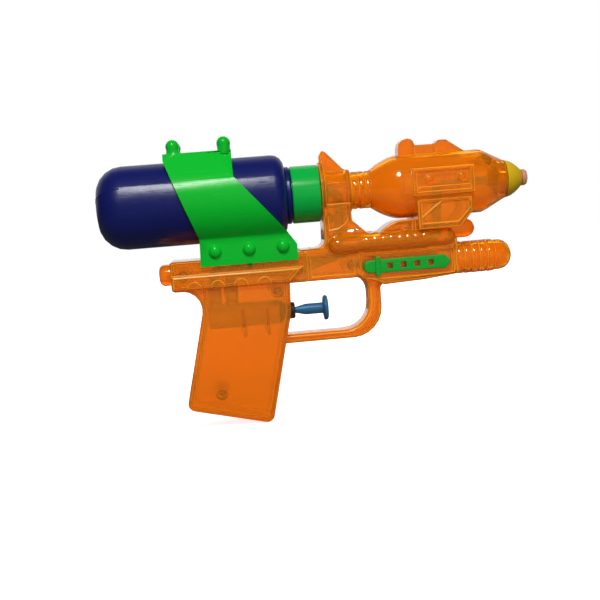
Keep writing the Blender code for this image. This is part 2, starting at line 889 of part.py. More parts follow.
def body_outside():
    form = turned("outside", barrel_profile())
    rear = FLANGE_REAR
    fin = fillet(
        [
            (rear + 0.9, HOUSING_R - 2.0, 0.0),
            (rear + 0.9, FIN_TOP - 2.6, 0.8),
            (rear + 2.4, FIN_TOP, 0.8),
            (rear + 4.2, FIN_TOP - 1.0, 0.8),
            (HOUSING_FRONT - 2.7, HOUSING_R + 0.2, 1.0),
            (HOUSING_FRONT - 0.4, HOUSING_R - 0.6, 0.0),
            (HOUSING_FRONT - 0.4, HOUSING_R - 2.0, 0.0),
        ],
        steps=3,
    )
    post = fillet(
        [
            (rear + 0.1, -5.0, 0.0),
            (rear + 0.1, RECEIVER_TOP + 0.2, 3.5),
            (rear - 6.5, RECEIVER_TOP + 0.2, 0.0),
            (rear - 6.5, RECEIVER_TOP - 2.0, 0.0),
            (POST_FRONT + 8.7, RECEIVER_TOP - 2.0, 0.0),
            (POST_FRONT + 8.7, SIDE_TUBE_V + SIDE_TUBE_R - 0.2, 0.0),
            (POST_FRONT + 6.9, SIDE_TUBE_V + SIDE_TUBE_R + 0.2, 1.5),
            (POST_FRONT + 0.1, -13.6, 1.5),
            (POST_FRONT - 0.1, -5.0, 0.0),
        ],
        steps=3,
    )
    lug_front = SIGHT_REAR + SIGHT_LUG_LONG
    block_front = SIGHT_BAR_FRONT + SIGHT_BLOCK_LONG
    sight = fillet(
        [
            (SIGHT_REAR, BULB_R - 2.5, 0.0),
            (SIGHT_REAR, SIGHT_TOP, 4.2),
            (lug_front, SIGHT_TOP, 2.8),
            (lug_front, SIGHT_BAR_TOP, 0.8),
            (SIGHT_BAR_FRONT, SIGHT_BAR_TOP, 0.8),
            (SIGHT_BAR_FRONT + 1.6, SIGHT_BLOCK_TOP, 0.8),
            (block_front, SIGHT_BLOCK_TOP, 1.2),
            (SIGHT_FRONT, BULB_R - 0.8, 0.0),
            (SIGHT_FRONT, BULB_R - 2.5, 0.0),
        ],
        steps=3,
    )
    rail = fillet(
        [
            (RECEIVER_REAR, RAIL_TOP, 1.2),
            (RAIL_FRONT, RAIL_TOP, 0.0),
            (RAIL_FRONT, RECEIVER_BOTTOM, 0.0),
            (RECEIVER_REAR, RECEIVER_BOTTOM, 1.8),
        ],
        steps=3,
    )
    receiver = [
        (RAIL_FRONT - 2.6, RECEIVER_TOP),
        (FORE_REAR + 2.0, RECEIVER_TOP),
        (FORE_REAR + 2.0, RECEIVER_BOTTOM - 0.1),
        (RAIL_FRONT - 2.6, RECEIVER_BOTTOM - 0.1),
    ]
    slide = [
        (RECEIVER_REAR + 0.4, SLIDE_TOP),
        (RAIL_FRONT - 1.9, SLIDE_TOP),
        (RAIL_FRONT - 8.2, SLIDE_BOTTOM),
        (RECEIVER_REAR + 0.4, SLIDE_BOTTOM),
    ]
    fore = [
        (FORE_REAR, SIDE_TUBE_V - 1.0),
        (FORE_FRONT, SIDE_TUBE_V - 1.0),
        (FORE_FRONT, FORE_FRONT_FOOT),
        (FORE_MIDDLE_U, FORE_MIDDLE_FOOT),
        (GUARD_FRONT + 1.4, FORE_REAR_FOOT),
        (FORE_REAR, RECEIVER_BOTTOM - 0.2),
    ]
    lug = [(PYLON_REAR + 4.0, 0.0), (PYLON_REAR + 4.0, LUG_R)]
    lug += [(LUG_FRONT - LUG_R + a, b) for a, b in arc(LUG_R, math.pi / 2, 0.0, 5)]
    plug = [(PLUG_REAR + 12.0, 0.0), (PLUG_REAR, 0.0)]
    for a, b in arc(PLUG_FILLET, math.pi, math.pi / 2, 3):
        plug.append((PLUG_REAR + PLUG_FILLET + a, PLUG_R - PLUG_FILLET + b))
    plug.append((PLUG_REAR + 12.0, PLUG_R))
    low_r = LOWER_R - LOWER_RIB_PROUD
    lower = [(FORE_FRONT - 6.0, 0.0), (FORE_FRONT - 6.0, low_r)]
    for index in range(LOWER_RIBS):
        middle = LOWER_RIB_FIRST + index * LOWER_RIB_PITCH
        lower += [(middle - 1.1, low_r), (middle - 0.5, LOWER_R)]
        lower += [(middle + 0.5, LOWER_R), (middle + 1.1, low_r)]
    for a, b in arc(LOWER_DOME, math.pi / 2, 0.0, 6):
        lower.append((LOWER_FRONT - LOWER_DOME + a, low_r - LOWER_DOME + b))
    lower.append((LOWER_FRONT, 0.0))
    bridge_low = (SIDE_TUBE_REAR + SIDE_TUBE_R, -SIDE_TUBE_Y, SIDE_TUBE_V - SIDE_TUBE_R + 0.3)
    bridge_high = (SIDE_TUBE_FRONT - SIDE_TUBE_R, SIDE_TUBE_Y, SIDE_TUBE_V + SIDE_TUBE_R - 0.3)
    unite(
        form,
        slab("fin", fin, FIN_HALF, 0.6, 1),
        slab("post", post, POST_HALF, 0.6, 1),
        slab("sight", sight, SIGHT_HALF, 0.7, 1),
        slab("pylon", pylon_outline(), PYLON_HALF, 0.6, 1),
        slab("ear", ear_outline(), EAR_HALF, 0.5, 1),
        turned("lug", lug, LUG_V, PUMP_STEPS),
        box("bridge", bridge_low, bridge_high),
        slab("rail", rail, RAIL_HALF, 0.7, 1),
        slab("receiver", receiver, RECEIVER_HALF, 0.7, 1),
        slab("slide", slide, SLIDE_HALF, 0.8, 1),
        slab("fore", fore, FORE_HALF, 0.8, 1),
        turned("plug", plug, PLUG_V, PUMP_STEPS),
        turned("lower", lower, LOWER_V, TURN_STEPS),
        slab("guard", guard_outline(), GUARD_HALF, 1.0, 1),
        slab("grip", fillet(grip_outline(), 5), GRIP_HALF, 2.6, 3),
    )
    for side in (-1, 1):
        unite(form, turned("tube", side_tube_profile(), SIDE_TUBE_V, PUMP_STEPS, side * SIDE_TUBE_Y))
        side_details(form, side)
    return form


def side_details(form, side):
    """Panel, recesses and arches on one side of the body."""
    face_y = BULB_R + PANEL_PROUD
    floor_y = face_y - PANEL_RECESS
    panel_y = on_side(side, 0.0, face_y)
    unite(form, box("panel", (PANEL_REAR, panel_y[0], PANEL_FOOT), (PANEL_FRONT, panel_y[1], PANEL_TOP)))
    pocket_y = on_side(side, floor_y, ACROSS)
    pocket_low = (PANEL_REAR + PANEL_RIM, pocket_y[0], PANEL_STEP_V)
    carve(form, box("pocket", pocket_low, (PANEL_FRONT - PANEL_RIM, pocket_y[1], PANEL_TOP - PANEL_RIM)))
    step_y = on_side(side, floor_y + PANEL_RECESS / 2, ACROSS)
    step_low = (PANEL_REAR + PANEL_RIM, step_y[0], PANEL_FOOT + PANEL_RIM)
    carve(form, box("step", step_low, (PANEL_FRONT - PANEL_RIM, step_y[1], PANEL_STEP_V + 0.5)))
    for rivet_u in PANEL_RIVETS:
        unite(form, ball("rivet", rivet_u, side * floor_y, 2.4, PANEL_RIVET_R, 0.8, 7))
    inset_y = on_side(side, PYLON_HALF - PYLON_RECESS, ACROSS)
    inner = plate("inset", inset(pylon_outline(), PYLON_RIM), inset_y[0], inset_y[1])
    brace = [
        (PYLON_REAR, PYLON_FOOT + 3.6),
        (PYLON_REAR, PYLON_FOOT + 2.6),
        (PYLON_REAR + 15.0, PYLON_TOP + 0.4),
        (PYLON_REAR + 13.8, PYLON_TOP + 0.4),
    ]
    carve(inner, plate("brace", brace, inset_y[0] - 1.0, inset_y[1] + 1.0))
    carve(form, inner)
    ear_y = on_side(side, EAR_HALF - EAR_RECESS, SIDE_TUBE_Y + SIDE_TUBE_R)
    ear_foot = SIDE_TUBE_V + SIDE_TUBE_R + 0.4
    ear = [
        (EAR_REAR + 3.2, ear_foot),
        (EAR_REAR + 5.4, EAR_TOP - EAR_RIM - 1.4),
        (EAR_REAR + 8.0, EAR_TOP - EAR_RIM - 0.3),
        (EAR_REAR + 10.6, EAR_TOP - EAR_RIM),
        (PYLON_REAR - EAR_RIM, EAR_TOP - EAR_RIM),
        (PYLON_REAR - EAR_RIM, ear_foot),
    ]
    carve(form, plate("ear", ear, ear_y[0], ear_y[1]))
    post_y = on_side(side, POST_HALF - POST_RECESS, ACROSS)
    post_rear = FLANGE_REAR + FLANGE_THICK + 0.5
    post = [
        (post_rear, -HOUSING_R - 0.6),
        (POST_FRONT - 1.8, -HOUSING_R - 0.6),
        (POST_FRONT - 1.8, -HOUSING_R - 3.2),
        (POST_FRONT - 3.4, -HOUSING_R - 5.0),
        (POST_FRONT - 6.0, -HOUSING_R - 6.6),
        (post_rear, -HOUSING_R - 7.4),
    ]
    carve(form, plate("post", post, post_y[0], post_y[1]))
    receiver_y = on_side(side, RECEIVER_HALF - RECEIVER_RECESS, ACROSS)
    receiver_low = (RAIL_FRONT + 1.8, receiver_y[0], RECEIVER_BOTTOM + 1.8)
    receiver_high = (FORE_REAR - 2.6, receiver_y[1], SIDE_TUBE_V - SIDE_TUBE_R - 0.6)
    carve(form, box("receiver", receiver_low, receiver_high))
    recess_y = on_side(side, FORE_HALF - RECESS_DEEP, ACROSS)
    recess_v = TRIM_RING_HALF + 0.7
    recess_low = (TRIM_REAR - 0.9, recess_y[0], TRIM_V - recess_v)
    carve(form, box("recess", recess_low, (TRIM_FRONT + 1.2, recess_y[1], TRIM_V + recess_v)))
    arch_y = on_side(side, SLIDE_HALF - 0.5, SLIDE_HALF + ARCH_PROUD)
    for index in range(ARCH_COUNT):
        middle = ARCH_FIRST + index * ARCH_PITCH
        foot = SLIDE_BOTTOM + 0.7
        outline = [(middle + a, foot + b) for a, b in arc(ARCH_R, math.pi, 0.0, 6)]
        outline += [(middle + a, foot + b) for a, b in arc(ARCH_R - ARCH_WIDE, 0.0, math.pi, 6)]
        unite(form, plate("arch", outline, arch_y[0], arch_y[1]))


def body_hollow():
    front = FLANGE_REAR + FLANGE_THICK
    inside = [(front, 0.0), (front, HOUSING_R - WALL), (HOUSING_FRONT - WALL, HOUSING_R - WALL)]
    inside.append((HOUSING_FRONT, BULB_NECK_R - WALL))
    inside += bulb_profile(WALL)
    inside[-1] = (NOSE_U - CAP_SPIGOT_LONG - 0.6, bulb_profile(WALL)[-2][1] - 0.6)
    inside += [
        (NOSE_U - CAP_SPIGOT_LONG - 0.6, CAP_SPIGOT_R + GAP),
        (NOSE_U + 2.0, CAP_SPIGOT_R + GAP),
        (NOSE_U + 2.0, 0.0),
    ]
    form = turned("hollow", inside)
    hole = rod(FLANGE_REAR - 2.0, front + 1.0, SPIGOT_R + GAP)
    post_front = POST_FRONT - 1.7
    post = [(front, -3.0), (front, RECEIVER_TOP - 4.0), (post_front, RECEIVER_TOP - 4.0), (post_front, -3.0)]
    rail = [
        (RECEIVER_REAR + WALL, RAIL_TOP - WALL),
        (RAIL_FRONT - WALL, RAIL_TOP - WALL),
        (RAIL_FRONT - WALL, RECEIVER_BOTTOM + WALL),
        (RECEIVER_REAR + WALL, RECEIVER_BOTTOM + WALL),
    ]
    receiver = [
        (RAIL_FRONT - 6.0, RAIL_TOP - WALL - 0.1),
        (FORE_REAR - 1.4, RAIL_TOP - WALL - 0.1),
        (FORE_REAR - 1.4, RECEIVER_BOTTOM + WALL + 0.1),
        (RAIL_FRONT - 6.0, RECEIVER_BOTTOM + WALL + 0.1),
    ]
    slide = [
        (RECEIVER_REAR + 2 * WALL, SLIDE_TOP - WALL),
        (RAIL_FRONT - 6.0, SLIDE_TOP - WALL),
        (RAIL_FRONT - 10.0, SLIDE_BOTTOM + WALL),
        (RECEIVER_REAR + 2 * WALL, SLIDE_BOTTOM + WALL),
    ]
    fore = [
        (FORE_REAR - 3.0, SIDE_TUBE_V - 0.5),
        (FORE_FRONT - WALL, SIDE_TUBE_V - 0.5),
        (FORE_FRONT - WALL, FORE_FRONT_FOOT + WALL),
        (FORE_MIDDLE_U, FORE_MIDDLE_FOOT + WALL),
        (GUARD_FRONT + 1.4, FORE_REAR_FOOT + WALL),
        (FORE_REAR - 3.0, RECEIVER_BOTTOM + WALL + 0.2),
    ]
    low_r = LOWER_R - LOWER_RIB_PROUD - WALL
    dome = LOWER_DOME - WALL
    lower = [(FORE_FRONT - 4.0, 0.0), (FORE_FRONT - 4.0, low_r)]
    for a, b in arc(dome, math.pi / 2, 0.0, 4)[:-1]:
        lower.append((LOWER_FRONT - WALL - dome + a, low_r - dome + b))
    lower += [(LOWER_FRONT - WALL, 0.8), (LOWER_FRONT - WALL, 0.0)]
    grip = inset([(u, v) for u, v in fillet(grip_outline(), 5)][7:], WALL)
    grip = [(GRIP_BACK - WALL, RECEIVER_BOTTOM + 3.4)] + grip[:-1]
    grip.append((GRIP_FRONT - 0.2 - WALL, RECEIVER_BOTTOM + 3.4))
    tube_low = SIDE_TUBE_REAR + WALL
    tube_high = SIDE_TUBE_FRONT - WALL
    tube_top = SIDE_TUBE_V + SIDE_TUBE_R - 0.3 - WALL
    bridge_y = SIDE_TUBE_Y - 1.4
    bridge_low = (tube_low + SIDE_TUBE_R, -bridge_y, SIDE_TUBE_V - SIDE_TUBE_R)
    well_low = (PYLON_REAR + 5.0, -6.0, SIDE_TUBE_V)
    unite(
        form,
        turned("hole", hole, 0.0, PUMP_STEPS),
        slab("post", post, POST_HALF - POST_RECESS - WALL),
        slab("pylon", inset(pylon_outline(), WALL), PYLON_HALF - PYLON_RECESS - WALL),
        box("well", well_low, (PYLON_FRONT - PYLON_CORNER - WALL, 6.0, PYLON_FOOT + 3.0)),
        box("bridge", bridge_low, (tube_high - SIDE_TUBE_R, bridge_y, tube_top)),
        slab("rail", rail, RAIL_HALF - WALL),
        slab("receiver", receiver, RECEIVER_HALF - RECEIVER_RECESS - WALL),
        slab("slide", slide, SLIDE_HALF - WALL),
        slab("fore", fore, FORE_HALF - RECESS_DEEP - WALL),
        turned("lower", lower, LOWER_V, TURN_STEPS),
        slab("grip", grip, GRIP_HALF - WALL, 1.6, 2),
    )
    bore = capsule(tube_low, tube_high, SIDE_TUBE_R - WALL)
    for side in (-1, 1):
        unite(form, turned("tube", bore, SIDE_TUBE_V, SMALL_STEPS, side * SIDE_TUBE_Y))
    return form


def stiffen(hollow):
    """Takes the bosses, webs and cradle ribs out of the hollow, so that they stay in the shell."""
    for u, v in BOSSES:
        boss = [(-ACROSS, 0.0), (-ACROSS, BOSS_R), (0.0, BOSS_R), (0.0, COUNTER_BOSS_R)]
        boss += [(ACROSS, COUNTER_BOSS_R), (ACROSS, 0.0)]
        carve(hollow, crosswise("boss", boss, u, v))
    for rib_u in CRADLE_RIBS:
        low = (rib_u - RIB_THICK / 2, -ACROSS, PUMP_V - 9.0)
        rib = box("rib", low, (rib_u + RIB_THICK / 2, ACROSS, PUMP_V + 3.0))
        clear = rod(rib_u - 3.0, rib_u + 3.0, PUMP_R + GAP)
        carve(rib, turned("clear", clear, PUMP_V, PUMP_STEPS))
        carve(hollow, rib)
    for web_v, web_y in WEBS:
        for side in (-1, 1):
            across = on_side(side, web_y, ACROSS)
            low = (FLANGE_REAR, across[0], web_v - RIB_THICK / 2)
            carve(hollow, box("web", low, (HOUSING_FRONT - 2.0, across[1], web_v + RIB_THICK / 2)))
    return hollow


def body():
    form = body_outside()
    carve(form, stiffen(body_hollow()))
    nose = rod(GRIP_FRONT - 6.0, GRIP_FRONT + 3.0, GLAND_NOSE_R + GAP)
    carve(form, turned("nose", nose, PUMP_V, PUMP_STEPS))
    for u, v in BOSSES:
        shank = SCREW_R + GAP
        carve(form, peg("shank", u, v, shank, SCREW_SEAT - SCREW_LONG - 1.0, SCREW_SEAT + 1.0, 12))
        carve(form, peg("head", u, v, SCREW_HEAD_R + GAP, SCREW_SEAT, ACROSS))
    left = twin(form, "shell_left")
    form.name = "shell_right"
    keep_inside(form, box("half", (-FAR, -FAR, -FAR), (FAR, -GAP / 2, FAR)))
    keep_inside(left, box("half", (-FAR, GAP / 2, -FAR), (FAR, FAR, FAR)))
    paint(form, ORANGE, 0.15, 0.0, 0.75)
    paint(left, ORANGE, 0.15, 0.0, 0.75)


def screws():
    for index, (u, v) in enumerate(BOSSES):
        seat = SCREW_SEAT + GAP
        profile = [
            (seat - SCREW_LONG, 0.0),
            (seat - SCREW_LONG + 0.8, SCREW_R),
            (seat, SCREW_R),
            (seat, SCREW_HEAD_R),
            (seat + SCREW_HEAD_LONG * 0.6, SCREW_HEAD_R),
            (seat + SCREW_HEAD_LONG, SCREW_HEAD_R * 0.6),
            (seat + SCREW_HEAD_LONG, 0.0),
        ]
        screw = crosswise(f"shell_screw_{index + 1}", profile, u, v, 12)
        paint(screw, STEEL, 0.35, 1.0)


# Nozzle

def nozzle():
    rear = NOSE_U + GAP
    bore = JET_R + GAP
    cap = [
        (NOSE_U - CAP_SPIGOT_LONG, bore),
        (NOSE_U - CAP_SPIGOT_LONG, CAP_SPIGOT_R),
        (rear, CAP_SPIGOT_R),
        (rear, NOSE_R),
    ]
    run = CAP_FRONT - rear
    for part in (0.3, 0.55, 0.75, 0.9, 1.0):
        cap.append((rear + run * part, NOSE_R - (NOSE_R - JET_TIP_R) * part ** 1.7))
    cap.append((CAP_FRONT, bore))
    paint(turned("nozzle_cap", cap), YELLOW, 0.4)
    seat = CAP_FRONT + GAP
    jet = [
        (JET_BARB_REAR, BORE_R),
        (JET_BARB_REAR, BARB_R),
        (JET_BARB_REAR + VALVE_BARB_LONG + 1.0, BARB_R),
        (JET_BARB_REAR + VALVE_BARB_LONG + 1.0, JET_R),
        (seat, JET_R),
        (seat, JET_TIP_R),
        (JET_FRONT - 1.0, JET_TIP_R),
        (JET_FRONT - 0.3, JET_TIP_R - 0.4),
        (JET_FRONT, JET_TIP_R - 1.1),
        (JET_FRONT, BORE_R),
    ]
    paint(turned("nozzle_jet", jet, 0.0, PUMP_STEPS), ORANGE, 0.1, 0.0, 0.7)


# Trim bars in the fore-end's recesses

def trim_bars():
    low_y = FORE_HALF - RECESS_DEEP + GAP
    neck = TRIM_RING_U - 0.5
    outline = fillet(
        [
            (TRIM_REAR, TRIM_V - TRIM_HALF + 0.2, 2.7),
            (neck, TRIM_V - TRIM_HALF + 0.2, 0.0),
            (TRIM_RING_U + 3.0, TRIM_V - TRIM_HALF, 0.0),
            (TRIM_FRONT - 2.6, TRIM_V - TRIM_HALF, 0.0),
            (TRIM_FRONT, TRIM_V, 0.8),
            (TRIM_FRONT - 2.6, TRIM_V + TRIM_HALF, 0.0),
            (TRIM_RING_U + 3.0, TRIM_V + TRIM_HALF, 0.0),
            (neck, TRIM_V + TRIM_HALF - 0.2, 0.0),
            (TRIM_REAR, TRIM_V + TRIM_HALF - 0.2, 2.7),
        ],
        steps=4,
    )
    bar = plate("trim_bar_left", outline, low_y, low_y + TRIM_THICK, 0.6, 2)
    round_r = TRIM_RING_WIDE / 2 - 0.05
    ring = fillet(
        [
            (TRIM_RING_U, TRIM_V - TRIM_RING_HALF, round_r),
            (TRIM_RING_U + TRIM_RING_WIDE, TRIM_V - TRIM_RING_HALF, round_r),
            (TRIM_RING_U + TRIM_RING_WIDE, TRIM_V + TRIM_RING_HALF, round_r),
            (TRIM_RING_U, TRIM_V + TRIM_RING_HALF, round_r),
        ],
        steps=3,
    )
    unite(bar, plate("ring", ring, low_y + 0.1, low_y + TRIM_THICK + 0.6, 0.5, 2))
    for index in range(4):
        hole_u = TRIM_HOLE_FIRST + index * TRIM_HOLE_PITCH
        hole = TRIM_HOLE / 2
        carve(bar, box("hole", (hole_u - hole, 0.0, TRIM_V - hole), (hole_u + hole, ACROSS, TRIM_V + hole)))
    other = mirrored(bar, "trim_bar_right")
    paint(bar, GREEN, 0.25)
    paint(other, GREEN, 0.25)


# Pump with its plunger, spring and valves

# The gland's flange clears the raked front wall of the grip at its lowest point.
GLAND_R = PUMP_R - 0.2
GLAND_SEAT = GRIP_FRONT - 0.2 - GLAND_R * math.tan(GRIP_RAKE) - WALL / math.cos(GRIP_RAKE) - GAP
PUMP_FRONT = GLAND_SEAT - GLAND_FLANGE - GAP
GLAND_PLUG_REAR = PUMP_FRONT - 2.6
PISTON_FRONT = GLAND_PLUG_REAR - GAP
PISTON_REAR = PISTON_FRONT - PISTON_LONG
PUMP_FLOOR = PUMP_REAR + WALL


def pump_cylinder():
    profile = [
        (PUMP_FRONT, PUMP_BORE_R),
        (PUMP_FRONT, PUMP_R),
        (PUMP_REAR, PUMP_R),
        (PUMP_REAR, 0.0),
        (PUMP_FLOOR, 0.0),
        (PUMP_FLOOR, PUMP_BORE_R),
    ]
    cylinder = turned("pump_cylinder", profile[::-1], PUMP_V, PUMP_STEPS)
    for port_u in (OUTLET_U, INLET_U):
        tower = [(PUMP_V + PUMP_BORE_R + 0.5, 0.0), (PUMP_V + PUMP_BORE_R + 0.5, VALVE_R)]
        tower += [(VALVE_FOOT, VALVE_R), (VALVE_FOOT, 0.0)]
        unite(cylinder, upright("tower", tower, port_u))
        port = [(PUMP_V, 0.0), (PUMP_V, BORE_R), (VALVE_FOOT + 1.0, BORE_R), (VALVE_FOOT + 1.0, 0.0)]
        carve(cylinder, upright("port", port, port_u, 0.0, 10))
    return paint(cylinder, WHITE, 0.4)


def pump_gland():
    bore = SHAFT_R + GAP
    profile = [
        (GLAND_FRONT, bore),
        (GLAND_FRONT, GLAND_NOSE_R - 0.5),
        (GLAND_FRONT - 0.5, GLAND_NOSE_R),
        (GLAND_SEAT, GLAND_NOSE_R),
        (GLAND_SEAT, GLAND_R),
        (PUMP_FRONT + GAP, GLAND_R),
        (PUMP_FRONT + GAP, PUMP_BORE_R - GAP),
        (GLAND_PLUG_REAR, PUMP_BORE_R - GAP),
        (GLAND_PLUG_REAR, bore),
    ]
    return paint(turned("pump_gland", profile, PUMP_V, PUMP_STEPS), BLACK, 0.5)


def trigger_plunger():
    disc_rear = DISC_FRONT - DISC_THICK
    taper = disc_rear - SHAFT_LONG
    groove = PISTON_FRONT - (PISTON_LONG - GROOVE_LONG) / 2
    piston = PUMP_BORE_R - GAP
    profile = [
        (DISC_FRONT, 0.0),
        (DISC_FRONT, DISC_R - 0.7),
        (DISC_FRONT - 0.3, DISC_R - 0.2),
        (DISC_FRONT - 0.8, DISC_R),
        (disc_rear + 0.5, DISC_R),
        (disc_rear, DISC_R - 0.5),
        (disc_rear, SHAFT_R + 0.6),
        (disc_rear - 0.6, SHAFT_R),
        (taper, SHAFT_R),
        (taper - TAPER_LONG, ROD_R),
        (PISTON_FRONT, ROD_R),
        (PISTON_FRONT, piston),
        (groove, piston),
        (groove, GROOVE_R),
        (groove - GROOVE_LONG, GROOVE_R),
        (groove - GROOVE_LONG, piston),
        (PISTON_REAR, piston),
        (PISTON_REAR, SPRING_R - SPRING_WIRE - 2 * GAP),
        (PISTON_REAR - 2.0, SPRING_R - SPRING_WIRE - 3 * GAP),
        (PISTON_REAR - 2.0, 0.0),
    ]
    return paint(turned("trigger_plunger", profile, PUMP_V, PUMP_STEPS), BLUE, 0.35)


def piston_seal():
    middle = PISTON_FRONT - PISTON_LONG / 2
    profile = [(middle + a, GROOVE_R + GAP + SEAL_R + b) for a, b in arc(SEAL_R, 0.0, 2 * math.pi, 8)[:-1]]
    return paint(turned("piston_seal", profile, PUMP_V, PUMP_STEPS), BLACK, 0.6)


def return_spring():
    start = PISTON_REAR - GAP - SPRING_WIRE
    end = PUMP_FLOOR + GAP + SPRING_WIRE
    count = SPRING_TURNS * 10
    curve = bpy.data.curves.new("return_spring", "CURVE")
    curve.dimensions = "3D"
    curve.bevel_depth = SPRING_WIRE * MM
    curve.bevel_resolution = 1
    curve.use_fill_caps = True
    line = curve.splines.new("POLY")
    line.points.add(count)
    for index in range(count + 1):
        part = index / count
        turn = 2 * math.pi * SPRING_TURNS * part
        across = SPRING_R * math.cos(turn)
        point = place(start + (end - start) * part, across, PUMP_V + SPRING_R * math.sin(turn))
        line.points[index].co = (*point, 1.0)
    middle = [Vector(point.co[:3]) for point in line.points]
    least = min(
        (middle[i] - middle[j]).length for i in range(count) for j in range(i + 6, count + 1)
    )
    print(f"return_spring: least gap to itself {least / MM - 2 * SPRING_WIRE:.2f} mm")
    guide = bpy.data.objects.new("return_spring_guide", curve)
    bpy.context.scene.collection.objects.link(guide)
    graph = bpy.context.evaluated_depsgraph_get()
    mesh = bpy.data.meshes.new_from_object(guide.evaluated_get(graph))
    bpy.data.objects.remove(guide, do_unlink=True)
    bm = bmesh.new()
    bm.from_mesh(mesh)
    return paint(finish("return_spring", bm), STEEL, 0.3, 1.0)


def valve(name, u):
    foot = VALVE_FOOT + GAP
    floor = foot + VALVE_FLOOR
    roof = floor + VALVE_CHAMBER_LONG
    top = roof + VALVE_FLOOR
    profile = [
        (foot, BORE_R),
        (foot, VALVE_R),
        (top, VALVE_R),
        (top, BARB_R),
        (top + VALVE_BARB_LONG, BARB_R),
        (top + VALVE_BARB_LONG, BORE_R),
        (roof, BORE_R),
        (roof, VALVE_CHAMBER_R),
        (floor, VALVE_CHAMBER_R),
        (floor, BORE_R),
    ]
    paint(upright(f"{name}_valve", profile, u), WHITE, 0.4)
    ball_v = floor + BALL_R + BALL_CLEAR
    paint(ball(f"{name}_ball", u, 0.0, ball_v, BALL_R, 1.0, 6), STEEL, 0.2, 1.0)
    return top


def hoses():
    inner = BARB_R + GAP
    valve_top = VALVE_FOOT + GAP + 2 * VALVE_FLOOR + VALVE_CHAMBER_LONG
    foot = valve_top + GAP
    collar_barb = FLANGE_REAR + FLANGE_THICK + GAP + 1.0
    suction = [
        (collar_barb + GAP, 0.0, 0.0),
        (17.8, 0.0, 0.0),
        (17.8, 3.2, -12.0),
        (15.6, 3.2, -31.2),
        (INLET_U + 12.0, 3.2, -31.2),
        (INLET_U, 0.0, -31.2),
        (INLET_U, 0.0, foot),
    ]
    paint(hose("suction_hose", suction, 4.0, HOSE_R, inner), CLEAR, 0.2, 0.0, 0.5)
    jet_shoulder = JET_BARB_REAR + VALVE_BARB_LONG + 1.0
    delivery = [
        (OUTLET_U, 0.0, foot),
        (OUTLET_U, 0.0, -32.2),
        (OUTLET_U + 5.0, -5.6, -32.2),
        (INLET_U + 8.0, -5.6, -33.6),
        (-4.0, -3.2, -35.2),
        (20.0, -3.2, -27.4),
        (30.0, -3.2, SIDE_TUBE_V - 0.6),
        (62.0, -3.2, SIDE_TUBE_V - 0.6),
        (64.0, -2.0, 0.0),
        (jet_shoulder - 7.0, 0.0, 0.0),
        (jet_shoulder - GAP, 0.0, 0.0),
    ]
    paint(hose("delivery_hose", delivery, 4.0, HOSE_R, inner), CLEAR, 0.2, 0.0, 0.5)


tank()
tank_gasket()
tank_collar()
saddle()
body()
screws()
nozzle()
trim_bars()
pump_cylinder()
pump_gland()
trigger_plunger()
piston_seal()
return_spring()
valve("outlet", OUTLET_U)
valve("inlet", INLET_U)
hoses()
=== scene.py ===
import json
import math
import bpy
from mathutils import Matrix, Vector

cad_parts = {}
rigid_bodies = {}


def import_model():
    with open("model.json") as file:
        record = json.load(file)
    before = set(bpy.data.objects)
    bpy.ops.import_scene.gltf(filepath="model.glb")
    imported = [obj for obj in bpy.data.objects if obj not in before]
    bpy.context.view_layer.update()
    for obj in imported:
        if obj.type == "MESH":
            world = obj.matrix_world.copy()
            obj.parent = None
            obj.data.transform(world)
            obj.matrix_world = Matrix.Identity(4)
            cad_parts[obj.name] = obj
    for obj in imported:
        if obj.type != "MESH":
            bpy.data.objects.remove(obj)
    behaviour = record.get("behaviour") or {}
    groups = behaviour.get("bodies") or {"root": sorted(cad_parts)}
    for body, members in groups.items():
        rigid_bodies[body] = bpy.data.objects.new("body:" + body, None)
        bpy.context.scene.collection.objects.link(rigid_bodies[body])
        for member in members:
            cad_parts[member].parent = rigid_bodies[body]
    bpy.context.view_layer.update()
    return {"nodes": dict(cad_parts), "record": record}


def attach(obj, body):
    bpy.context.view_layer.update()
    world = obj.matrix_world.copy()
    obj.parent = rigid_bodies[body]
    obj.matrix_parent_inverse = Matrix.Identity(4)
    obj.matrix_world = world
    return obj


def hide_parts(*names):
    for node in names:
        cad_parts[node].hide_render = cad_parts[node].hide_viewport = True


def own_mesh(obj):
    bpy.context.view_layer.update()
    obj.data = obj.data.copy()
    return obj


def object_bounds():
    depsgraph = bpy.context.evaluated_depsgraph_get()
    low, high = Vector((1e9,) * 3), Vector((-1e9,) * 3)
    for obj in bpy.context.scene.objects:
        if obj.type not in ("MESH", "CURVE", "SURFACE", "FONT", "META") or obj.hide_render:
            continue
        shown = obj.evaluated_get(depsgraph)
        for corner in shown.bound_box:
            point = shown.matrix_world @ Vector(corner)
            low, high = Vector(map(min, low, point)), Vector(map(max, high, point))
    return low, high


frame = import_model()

cadNodes = frame["nodes"]
print("frame loaded:", len(cadNodes), "solids")


# shader maths: a wrapped socket with operators, and one method that adds nodes
class Socket:
    def __init__(self, finish, socket):
        self.finish = finish
        self.socket = socket

    def combine(self, operation, first, second):
        return self.finish.add("ShaderNodeMath", {"operation": operation}, {0: first, 1: second})

    def __add__(self, other):
        return self.combine("ADD", self, other)

    def __radd__(self, other):
        return self.combine("ADD", other, self)

    def __sub__(self, other):
        return self.combine("SUBTRACT", self, other)

    def __rsub__(self, other):
        return self.combine("SUBTRACT", other, self)

    def __mul__(self, other):
        return self.combine("MULTIPLY", self, other)

    def __rmul__(self, other):
        return self.combine("MULTIPLY", other, self)


